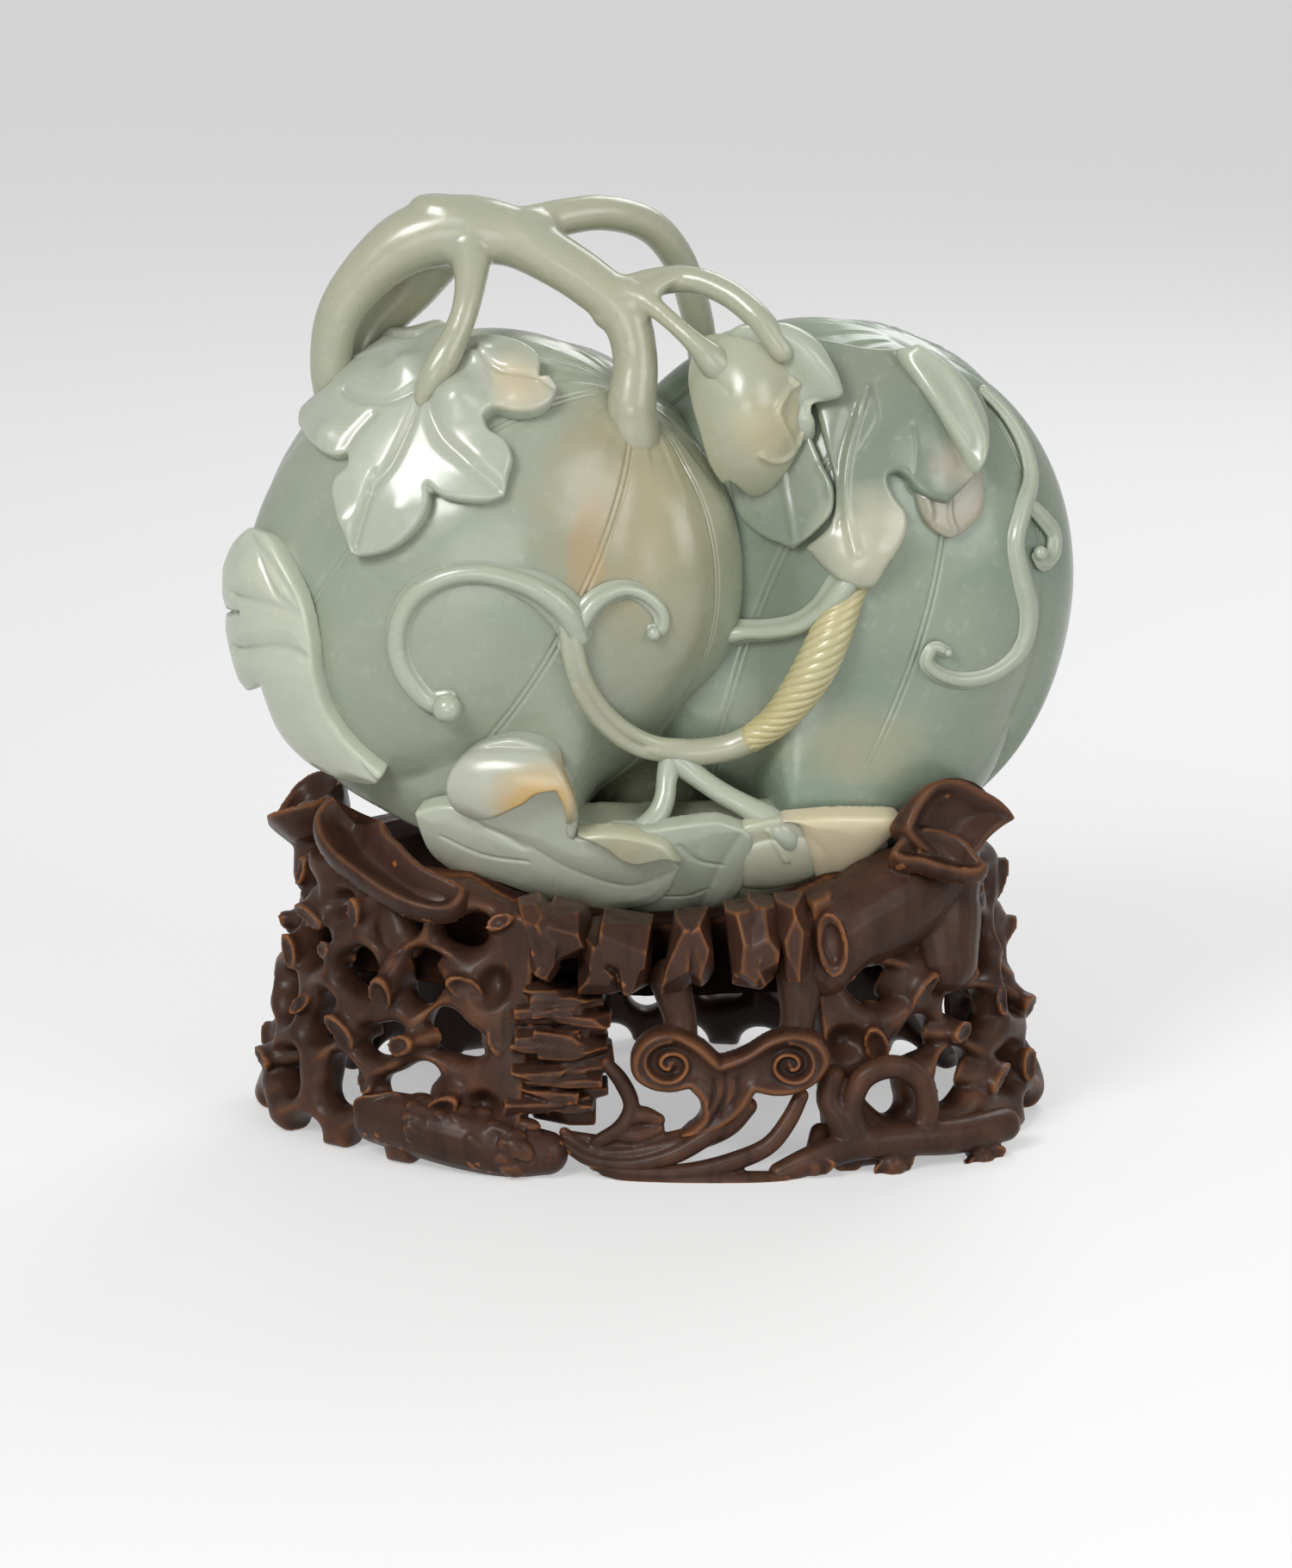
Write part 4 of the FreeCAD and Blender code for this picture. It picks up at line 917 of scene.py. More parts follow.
@dataclass
class Leaf:
    """A leaf laid over a face: its outline, veins and relief, as pixels of the photograph and millimetres."""

    name: str
    outline: Sequence[Row]
    sharp: Sequence[int] = ()
    veins: Sequence[Sequence[Row]] = ()
    thickness: float = 3.0
    sunk: float = 1.0
    puff: float = 1.2
    groove: float = 0.8
    groove_width: float = 0.9
    rim: float = 0.9
    swells: Sequence[Row] = ()
    dome: Row = ()
    folds: Sequence[tuple[Sequence[Row], float, float]] = ()
    hollow: float = 0.0
    hollow_reach: float = 1.6
    hollow_margin: float = 1.1
    edge_share: float = 0.45
    shell: float = 0.0
    opening: Sequence[Row] = ()
    opening_reach: float = 7.0
    voxel: float = 0.42

    def mesh(self, skin: Skin) -> bpy.types.Mesh:
        """Model the leaf on a face.

        Args:
            skin: The face that it lies on.

        Returns:
            The closed leaf.
        """
        outline = closed_spline(skin.chart(self.outline, self.thickness), 0.9, self.sharp)
        slab = self._slab(outline)
        flat = coordinates(slab)
        spots, front = flat[:, :2], np.clip(0.5 - flat[:, 2] / (self.voxel * 6), 0, 1)
        edge = distance_to_path(spots, outline, closed=True)
        top = self._height(skin, spots, edge)
        low = self._underside(skin, spots, top)
        move_to(slab, skin.place(spots, low + (top - low) * front))
        return slab

    def _underside(self, skin: Skin, spots: np.ndarray, top: np.ndarray) -> np.ndarray:
        """Height of the leaf's back, which follows the top where the leaf is a shell or is cut under."""
        flat = np.full(len(spots), -self.sunk)
        if not self.shell:
            return flat
        thin = np.maximum(top - self.shell, flat)
        if not self.opening:
            return thin
        gap = distance_to_path(spots, self._path(skin, self.opening, 0.8))
        return flat + (thin - flat) * hump(gap, self.opening_reach, 4)

    def _path(self, skin: Skin, rows: Sequence[Row], step: float) -> np.ndarray:
        """A smooth path on the chart through the pixels that it shows at."""
        return spline(skin.chart(rows, self.thickness), step)

    def _slab(self, outline: np.ndarray) -> bpy.types.Mesh:
        """An even thin slab over the chart, as thick as six voxels."""
        shape = bmesh.new()
        corners = [shape.verts.new((x, y, self.voxel * 3)) for x, y in outline]
        face = shape.faces.new(corners)
        grown = bmesh.ops.extrude_face_region(shape, geom=[face])
        moved = [item for item in grown["geom"] if isinstance(item, bmesh.types.BMVert)]
        bmesh.ops.translate(shape, verts=moved, vec=(0, 0, -self.voxel * 6))
        bmesh.ops.triangulate(shape, faces=shape.faces[:])
        bmesh.ops.recalc_face_normals(shape, faces=shape.faces[:])
        return fused(as_mesh(shape), self.voxel, 3)

    def _height(self, skin: Skin, spots: np.ndarray, edge: np.ndarray) -> np.ndarray:
        """Height of the leaf's top over the face."""
        inner = np.clip(edge / self.rim, 0, 1)
        height = self.thickness * (self.edge_share + (1 - self.edge_share) * np.sqrt(1 - (1 - inner) ** 2))
        height -= self.hollow * self._hollowed(edge)
        if self.veins:
            gap = np.full(len(spots), np.inf)
            for vein in self.veins:
                path = self._path(skin, vein, 0.8)
                along = nearest_share(spots, path)
                reach = distance_to_path(spots, path)
                gap = np.minimum(gap, reach / np.clip(1.25 - along, 0.25, 1))
            height += self.puff * np.minimum(1 - hump(gap, 5), 1 - hump(edge, 3.5))
            height -= self.groove * hump(gap, self.groove_width) * np.clip(edge / 1.5, 0, 1)
        for x, y, reach, swell in self.swells:
            middle = skin.chart([(x, y)], self.thickness)[0]
            away = np.linalg.norm(spots - middle, axis=1) / (reach * VIEW.pixel)
            height += swell * hump(away, 1)
        for rows, width, rise in self.folds:
            gap = distance_to_path(spots, self._path(skin, rows, 0.5))
            height += rise * hump(gap, width) * np.clip(edge / 1.2, 0, 1)
        if self.dome:
            x, y, wide, tall, rise = self.dome
            away = (spots - skin.chart([(x, y)], self.thickness)[0]) / (np.array([wide, tall]) * VIEW.pixel)
            height += rise * np.sqrt(np.clip(1 - np.einsum("ij,ij->i", away, away), 0, 1))
        return height

    def _hollowed(self, edge: np.ndarray) -> np.ndarray:
        """The share of the hollow's depth at a gap to the edge, with a rim left standing."""
        return 1 - hump(np.clip(edge - self.hollow_margin, 0, None), self.hollow_reach)


@dataclass
class Tendril:
    """A raised rib over a face, given as pixels of the photograph with a half width in millimetres."""

    name: str
    rows: Sequence[Row]
    height: float = 1.0
    bulb: float = 0.0
    skirt: float = 1.55

    def mesh(self, skin: Skin) -> bpy.types.Mesh:
        """Model the tendril on a face.

        Args:
            skin: The face that it lies on.

        Returns:
            The closed tendril.
        """
        chart = skin.chart(self.rows)
        rows = [(*spot, row[2], row[3] if len(row) > 3 else 0.0) for spot, row in zip(chart, self.rows)]
        points = np.array(rows)
        dense = self._dense(points)
        path = skin.place(dense[:, :2], dense[:, 3])
        guide = skin.normal(dense[:, :2])
        mesh = swept(path, dense[:, 2], guide, self._profile())
        if self.bulb:
            end = path[-1] + guide[-1] * self.bulb * 0.45
            mesh = joined([mesh, ball(tuple(end), (self.bulb,) * 3, rings=12)])
        return mesh

    def _dense(self, points: np.ndarray) -> np.ndarray:
        """The path at even small steps."""
        carried = np.hstack([points[:, :2], np.zeros((len(points), 1)), points[:, 2:]])
        dense = spline(carried, 0.8)
        return dense[:, [0, 1, 3, 4]]

    def _profile(self) -> np.ndarray:
        """The rib's section: a low skirt that rises in a hollow curve to a round back."""
        half = [(self.skirt, -0.12), (1.2, 0.0), (0.99, 0.2), (0.9, 0.48), (0.72, 0.76), (0.4, 0.94),
                (0, 1.0)]
        right = [(x, y * self.height) for x, y in half]
        left = [(-x, y) for x, y in right[-2::-1]]
        return np.array([(self.skirt, -0.6)] + right + left + [(-self.skirt, -0.6)])


@dataclass
class LeftMelonFace(JadeMaker):
    """The leaves and tendrils over the left melon."""

    skin: Skin

    def build(self) -> None:
        """Model the pieces and settle them."""
        for leaf, finish in ((self.upper(), UPPER), (self.edge(), LEAFY)):
            self.lay(leaf, self.skin, finish)
        for tendril in (self.large_scroll(), self.small_scroll()):
            self.lay(tendril, self.skin, PALE)

    def upper(self) -> Leaf:
        """The broad leaf below the vine's arch."""
        return Leaf(
            "leaf_upper_left",
            [(540, 386), (560, 384), (587, 386), (614, 396), (629, 410), (628, 430), (638, 430), (650, 443),
             (644, 460), (624, 472), (600, 474), (573, 469), (563, 478), (567, 491), (587, 504), (597, 528),
             (592, 548), (587, 572), (567, 580), (540, 580), (509, 573), (495, 561), (497, 576), (492, 595),
             (475, 619), (448, 638), (414, 646), (402, 643), (394, 616), (385, 592), (380, 568), (384, 551),
             (399, 535), (398, 521), (387, 526), (374, 524), (357, 511), (343, 491), (347, 474), (360, 460),
             (380, 444), (396, 418), (398, 399), (408, 379), (438, 359), (465, 350), (492, 355), (516, 370)],
            sharp=(5, 7, 12, 17, 21, 27, 33, 37),
            thickness=3.2, rim=1.2, sunk=1.5,
            folds=[([(512, 420), (494, 442), (478, 480), (452, 534), (431, 562), (408, 632)], 1.1, -1.2),
                   ([(494, 450), (510, 500), (540, 530), (580, 566)], 1.6, -1.1),
                   ([(500, 440), (450, 462), (408, 458), (398, 450)], 1.2, -0.9),
                   ([(421, 384), (450, 388), (482, 386), (514, 372)], 1.3, -1.3),
                   ([(545, 400), (580, 425), (620, 432), (646, 446)], 1.0, -0.8),
                   ([(566, 455), (572, 440), (566, 425)], 0.7, -0.3), ([(432, 545), (424, 565)], 0.7, -0.3),
                   ([(397, 521), (410, 500), (430, 478)], 1.6, -0.8)],
            swells=[(530, 457, 30, 3.0), (472, 424, 30, 2.2), (556, 409, 18, 1.8), (377, 500, 20, 1.2),
                    (445, 368, 26, 1.6), (604, 452, 18, 0.8), (394, 604, 16, 0.9), (460, 590, 20, 0.6),
                    (555, 530, 26, 0.9), (596, 412, 18, 0.8)])

    def edge(self) -> Leaf:
        """The leaf that wraps the left edge."""
        rib = [(290, 622), (318, 662), (345, 712), (358, 765), (375, 822), (402, 868), (436, 910)]
        return Leaf(
            "leaf_left_edge",
            [(286, 610), (306, 619), (322, 648), (342, 690), (355, 740), (362, 790), (378, 835), (405, 872),
             (442, 905), (436, 914), (399, 909), (353, 885), (323, 852), (306, 815), (300, 797), (282, 801),
             (270, 780), (263, 735), (262, 712), (276, 711), (262, 706), (258, 680), (260, 650), (270, 628)],
            sharp=(0, 8, 14, 19),
            veins=[rib, [(345, 712), (318, 690), (298, 640)], [(357, 765), (325, 752), (275, 752)],
                   [(345, 712), (305, 700), (272, 690)]],
            thickness=3.6, puff=1.0, groove=0.5, groove_width=1.0,
            swells=[(285, 660, 22, 0.8), (300, 740, 22, 0.5)])

    def large_scroll(self) -> Tendril:
        """The large scroll at the front."""
        return Tendril("tendril_large_scroll", [
            (672, 740, 2.1), (658, 712, 2.6), (630, 688, 2.4), (595, 673, 2.1), (552, 665, 2.0),
            (512, 672, 2.0), (480, 693, 2.0), (463, 726, 2.0), (463, 762, 2.0), (477, 792, 2.0),
            (500, 815, 1.9), (520, 818, 2.2, 0.2)], height=1.15, bulb=3.0)

    def small_scroll(self) -> Tendril:
        """The small scroll beside it."""
        return Tendril("tendril_small_scroll", [
            (664, 752, 1.9), (672, 728, 1.8), (687, 704, 1.7), (710, 688, 1.5), (733, 685, 1.3),
            (753, 694, 1.3), (766, 711, 1.3), (765, 727, 1.3), (755, 733, 1.2, 0.1)], height=1.1, bulb=1.5)


@dataclass
class RightMelonFace(JadeMaker):
    """The leaves and tendrils over the right melon."""

    skin: Skin

    def build(self) -> None:
        """Model the pieces and settle them."""
        # The small middle leaf shares the large leaf's dark finish as painted shade
        for leaf in (self.right(), self.lower()):
            self.lay(leaf, self.skin, RUNNING_LEAF_AND_SHADE)
        web = self.web()
        self.settle(web.name, web.mesh(self.skin), WEB, "leaf_right")
        for tendril in (self.right_tendril(), self.right_curl(), self.cross_stem()):
            self.lay(tendril, self.skin, PALE)

    def right(self) -> Leaf:
        """The large leaf that runs down from the top."""
        return Leaf(
            "leaf_right",
            [(925, 384), (971, 392), (1009, 399), (1047, 401), (1086, 410), (1120, 432), (1146, 462),
             (1152, 503), (1142, 541), (1122, 565), (1103, 582), (1081, 576), (1066, 566),
             (1056, 552), (1044, 545), (1034, 550), (1039, 569), (1055, 590), (1057, 606), (1050, 628),
             (1032, 654), (1014, 682), (985, 680), (958, 662), (934, 638), (965, 606), (970, 560), (955, 500),
             (935, 430)],
            sharp=(0, 10, 17, 24),
            thickness=2.6, sunk=2.0, rim=1.3,
            folds=[([(992, 640), (984, 600), (981, 560), (986, 520), (997, 480), (1006, 450)], 0.9, 0.9),
                   ([(975, 600), (970, 560), (976, 520), (988, 478)], 2.0, -0.9),
                   ([(1000, 520), (1020, 480), (1012, 440)], 0.6, -0.25),
                   ([(1062, 560), (1066, 520), (1062, 490)], 0.6, -0.2),
                   ([(1044, 410), (1072, 440), (1100, 480), (1122, 530)], 2.6, -1.3)],
            swells=[(1020, 640, 30, 2.2), (1090, 560, 26, 0.8), (990, 660, 22, 1.4)])

    def web(self) -> Leaf:
        """The thin brownish stone left behind the foot of the large leaf."""
        return Leaf(
            "leaf_right_web",
            [(1062, 560), (1100, 560), (1143, 538), (1144, 590), (1128, 612), (1106, 624), (1086, 614),
             (1072, 596)],
            sharp=(0, 2), thickness=0.9, sunk=2.0, rim=1.6,
            folds=[([(1112, 618), (1104, 596), (1104, 578)], 0.5, 0.4),
                   ([(1078, 606), (1080, 592), (1076, 578)], 0.9, 0.8)])

    def lower(self) -> Leaf:
        """The small leaf below the curled one."""
        return Leaf(
            "leaf_middle_lower",
            [(846, 560), (850, 590), (856, 608), (879, 628), (921, 642), (944, 621), (967, 592), (969, 565),
             (955, 535), (940, 500), (900, 520)],
            sharp=(4, 9),
            thickness=2.2, sunk=2.0,
            folds=[([(908, 545), (912, 575), (917, 600), (922, 634)], 0.7, 0.5),
                   ([(892, 590), (884, 602)], 0.6, 0.3), ([(965, 575), (962, 555), (952, 540)], 0.8, 0.5)])

    def right_tendril(self) -> Tendril:
        """The long tendril down the right side."""
        return Tendril("tendril_right", [
            (1142, 452, 1.0), (1168, 478, 1.2), (1190, 515, 1.3), (1199, 552, 1.4), (1190, 590, 1.5),
            (1181, 630, 1.6), (1188, 672, 1.7), (1196, 710, 1.7), (1190, 748, 1.6), (1165, 776, 1.4),
            (1128, 790, 1.3), (1094, 785, 1.1), (1076, 768, 1.0), (1085, 752, 0.9), (1100, 757, 0.8)],
            height=0.8, bulb=0.9)

    def right_curl(self) -> Tendril:
        """The side curl of that tendril."""
        return Tendril("tendril_right_curl", [
            (1196, 585, 1.1), (1212, 600, 1.3), (1225, 620, 1.4), (1224, 642, 1.4), (1212, 652, 1.2),
            (1205, 642, 1.1)], height=0.9, bulb=1.5)

    def cross_stem(self) -> Tendril:
        """The stem that crosses from the left melon."""
        return Tendril("stem_cross", [
            (834, 748, 2.6, -2.0), (848, 746, 2.1, -0.4), (868, 743, 1.6), (895, 740, 1.6), (928, 730, 1.7),
            (955, 710, 1.9),
            (976, 686, 2.4), (990, 668, 2.4)], height=1.5)




@dataclass
class Underside(JadeMaker):
    """The leaves, the cut stub and the bed of stone that wrap the foot of the melons."""

    skin: Skin

    def build(self) -> None:
        """Model the pieces and settle them."""
        for leaf, finish in ((self.bed(), BED), (self.left_hood(), HOOD), (self.middle(), PALE),
                             (self.stub(), SHADED), (self.right(), CREAM), (self.left(), LEAFY)):
            self.lay(leaf, self.skin, finish)
        flap = self.left_flap()
        self.settle(flap.name, flap.mesh(self.skin), HONEY, "leaf_bottom_left")

    def bed(self) -> Leaf:
        """The plain stone between the leaves and the melons."""
        return Leaf(
            "leaf_bed",
            [(560, 985), (620, 978), (690, 972), (800, 970), (870, 968), (950, 968), (1030, 968),
             (1020, 1000), (970, 1030), (921, 1050), (876, 1062), (831, 1072), (790, 1076), (740, 1068),
             (680, 1056), (610, 1036), (575, 1010)],
            thickness=0.3, sunk=13.0, rim=0.5, voxel=0.8)

    def left(self) -> Leaf:
        """The broad leaf at the left, with its side veins."""
        return Leaf(
            "leaf_bottom_left",
            [(476, 945), (493, 938), (523, 937), (545, 949), (560, 925), (600, 896), (648, 896), (664, 930),
             (668, 974), (700, 974), (738, 978), (774, 990), (792, 1010), (779, 1036), (760, 1051),
             (733, 1056), (711, 1062), (651, 1051), (613, 1039), (568, 1024), (545, 1026), (498, 994),
             (483, 968)],
            sharp=(0, 12, 20),
            veins=[[(786, 1012), (730, 1030), (660, 1010), (606, 980), (560, 962)]],
            thickness=2.1, puff=0.4, groove=0.15, groove_width=0.9, sunk=3.0,
            folds=[([(606, 985), (580, 970), (548, 954)], 0.6, -0.35),
                   ([(610, 1000), (560, 992), (510, 970)], 0.6, -0.3)])

    def left_flap(self) -> Leaf:
        """The edge of that leaf, folded over."""
        return Leaf(
            "leaf_flap",
            [(664, 975), (700, 971), (738, 975), (774, 986), (794, 1010), (772, 1005), (753, 1009),
             (736, 1011), (714, 1004), (702, 994), (685, 985)],
            sharp=(0, 4), thickness=4.4, sunk=0.5, rim=1.3, voxel=0.34)

    def left_hood(self) -> Leaf:
        """The lobe that curls over like a hood."""
        return Leaf(
            "leaf_bottom_left_curl",
            [(544, 952), (526, 936), (517, 911), (524, 886), (545, 868), (568, 860), (594, 857), (625, 867),
             (646, 884), (660, 905), (668, 926), (669, 948), (666, 980), (655, 974), (655, 950), (653, 928),
             (645, 911), (624, 914), (610, 924), (595, 931), (572, 943)],
            sharp=(0, 12, 16),
            thickness=2.6, sunk=9.0, shell=2.0, dome=(594, 916, 86, 64, 5.4), voxel=0.36,
            opening=[(572, 943), (610, 924), (650, 912), (655, 950), (655, 974)])

    def middle(self) -> Leaf:
        """The pointed leaf in the middle."""
        return Leaf(
            "leaf_bottom_middle",
            [(700, 968), (760, 964), (809, 957), (831, 955), (857, 962), (874, 972), (873, 1005), (861, 1036),
             (831, 1062), (809, 1074), (788, 1078), (756, 1074), (733, 1062), (720, 1040), (700, 1010)],
            sharp=(10,),
            veins=[[(862, 968), (835, 1010), (792, 1072)]],
            thickness=1.5, puff=0.4, groove=0.2, groove_width=0.8, sunk=3.0,
            folds=[([(838, 1006), (812, 1000), (790, 982)], 0.5, -0.3),
                   ([(820, 1034), (800, 1040), (770, 1040)], 0.5, -0.3)])

    def stub(self) -> Leaf:
        """The low cut stub between two leaves."""
        return Leaf(
            "stub_bottom",
            [(862, 964), (885, 956), (910, 952), (935, 963), (948, 1000), (955, 1030), (920, 1050),
             (876, 1062), (850, 1066), (862, 1020)],
            thickness=0.9, sunk=3.0, rim=3.0, dome=(905, 1005, 60, 60, 1.2),
            folds=[([(893, 964), (903, 980), (913, 996)], 0.45, 0.5)])

    def right(self) -> Leaf:
        """The warm leaf at the right."""
        return Leaf(
            "leaf_bottom_right",
            [(908, 958), (927, 960), (938, 974), (944, 1002), (953, 1028), (968, 1038), (990, 1024),
             (1012, 1002), (1040, 975), (1056, 956), (1000, 951), (945, 953)],
            sharp=(5,),
            thickness=2.4, puff=0.3, sunk=3.0, rim=3.0, veins=[[(920, 955), (960, 990), (968, 1030)]],
            groove=0.15, groove_width=0.8)


@dataclass
class Bud(JadeMaker):
    """The curled leaf at the middle of the top, and the leaf edges that roll over beside it."""

    skin: Skin

    def build(self) -> None:
        """Model the pieces and settle them."""
        core = [ball((21.9, -12.5, 150.5), (11.5, 12.0, 14.8), -4),
                ball((19.5, -11.5, 158.0), (10.4, 11.0, 9.6))]
        cup = self.cup().mesh(self.skin)
        self.settle("leaf_middle_curled", fused(joined([*core, cup]), 0.4, 2), BUD, "leaf_middle_curled")
        for leaf, skin in ((self.fold(), FOLD_SKIN), (self.right_curl(), RIGHT_SKIN)):
            self.lay(leaf, skin, PALE)

    def cup(self) -> Leaf:
        """The outer face of the curled leaf, with its bulge and its rolled rim."""
        return Leaf(
            "cup",
            [(803, 398), (798, 434), (802, 472), (811, 502), (818, 528), (828, 550), (840, 565), (848, 561),
             (856, 567), (867, 576), (883, 581), (893, 577), (906, 564), (919, 553), (928, 540), (929, 522),
             (936, 500), (937, 470), (929, 450), (919, 432), (900, 400), (868, 386), (835, 384), (810, 388)],
            sharp=(6, 7, 10),
            thickness=1.4, sunk=2.0, rim=1.0, swells=[(872, 470, 42, 2.0)],
            folds=[([(919, 439), (931, 460), (935, 485), (928, 505), (925, 515)], 0.8, 1.2),
                   ([(926, 442), (911, 458), (901, 476), (908, 495), (918, 511), (921, 524), (909, 535),
                     (895, 535), (884, 528)], 0.6, 0.8),
                   ([(918, 462), (917, 480), (924, 496)], 1.1, -1.0),
                   ([(814, 415), (822, 430), (836, 444), (848, 454)], 0.4, -0.35)],
            voxel=0.36)

    def fold(self) -> Leaf:
        """The broad rim that stands behind the curled leaf."""
        return Leaf(
            "leaf_middle_fold",
            [(838, 386), (852, 376), (872, 371), (893, 370), (913, 370), (933, 377), (954, 392), (969, 414),
             (979, 437), (983, 456), (976, 465), (959, 470), (946, 474), (951, 496), (948, 514), (934, 522),
             (915, 500), (895, 440), (860, 412)],
            sharp=(9,),
            thickness=3.0, sunk=6.0, rim=2.2,
            folds=[([(862, 380), (900, 384), (928, 398), (952, 424), (974, 452)], 2.6, 1.8),
                   ([(860, 406), (892, 414), (918, 436), (938, 470)], 2.8, -2.2)])

    def right_curl(self) -> Leaf:
        """The edge of the right leaf, rolled towards the front."""
        return Leaf(
            "leaf_right_curl",
            [(1044, 396), (1081, 399), (1109, 417), (1133, 443), (1151, 477), (1155, 503), (1150, 530),
             (1141, 548), (1134, 542), (1124, 520), (1108, 494), (1089, 463), (1066, 430), (1050, 408)],
            sharp=(0, 7),
            thickness=4.0, sunk=2.0, rim=2.2,
            folds=[([(1066, 404), (1100, 430), (1125, 468), (1141, 505), (1143, 535)], 2.0, 1.6)])


@dataclass
class Stems(JadeMaker):
    """The main stem, its twisted stretch, the two forks and a dark ball of painted shade in the deep hollow
    behind them.
    """

    def build(self) -> None:
        """Model the pieces and settle them."""
        strands = [
            [(655, 728, -33.6, 1.3), (662, 768, -33.4, 1.5), (678, 812, -31.6, 1.5), (706, 848, -28.8, 1.5),
             (744, 871, -26.0, 1.5), (790, 878, -24.6, 1.6)],
            [(668, 742, -33.8, 1.4), (676, 778, -33.2, 1.5), (693, 812, -31.0, 1.5), (722, 843, -28.0, 1.6),
             (758, 862, -25.8, 1.6), (800, 868, -24.6, 1.8)],
            [(752, 867, -25.6, 2.0), (800, 873, -24.4, 2.7), (845, 868, -24.2, 2.8), (874, 856, -24.6, 2.9)],
        ]
        stem = joined([tube(traced(rows), 0.8, 20) for rows in strands])
        self.settle("stem_main", fused(stem, 0.34, 2), VINE, "stem_main")
        self.settle("stem_twisted", self._rope(), ROPE, "stem_twisted")
        left = [(779, 884, -24.5, 2.7), (774, 905, -26.0, 2.2), (772, 925, -27.4, 2.2),
                (764, 945, -28.6, 2.4), (748, 961, -30.0, 2.5), (722, 968, -29.6, 2.2),
                (694, 966, -29.0, 2.0), (668, 960, -26.0, 2.2)]
        right = [(786, 882, -24.4, 2.8), (812, 903, -25.4, 2.3), (840, 922, -26.8, 2.3),
                 (866, 936, -27.8, 2.4), (890, 950, -28.6, 2.9), (908, 966, -29.0, 3.2),
                 (925, 990, -25.0, 3.0)]
        for name, rows in (("fork_left", left), ("fork_right", right)):
            self.settle(name, fused(tube(traced(rows)), 0.4, 3), PALE, name)
        # A dark matt ball fills the hollow behind the forks as painted shade
        web = ball((-0.7, 3.0, 69.0), (13.0, 15.8, 12.5))
        self.settle("leaf_behind_fork", web, HOLLOW_SHADE, "leaf_behind_fork")

    def _rope(self) -> bpy.types.Mesh:
        """The twisted stretch, a ten-lobed section that turns as it goes."""
        rows = traced([(872, 857, -24.8, 2.8), (900, 837, -25.6, 3.3), (925, 808, -26.6, 3.9),
                       (948, 772, -27.2, 4.3), (965, 735, -26.8, 4.1), (978, 705, -25.6, 3.6),
                       (990, 680, -24.2, 3.1)])
        path = spline(rows, 0.4)
        turns = np.linspace(0, 2 * math.pi, 80, endpoint=False)
        lobes = 1 + 0.07 * np.abs(np.sin(turns * 5)) - 0.03
        profile = np.stack([np.cos(turns), np.sin(turns)], axis=1) * lobes[:, None]
        guide = np.tile(SECTION_GUIDE, (len(path), 1))
        return swept(path[:, :3], path[:, 3], guide, profile, twist=-1 / 24)


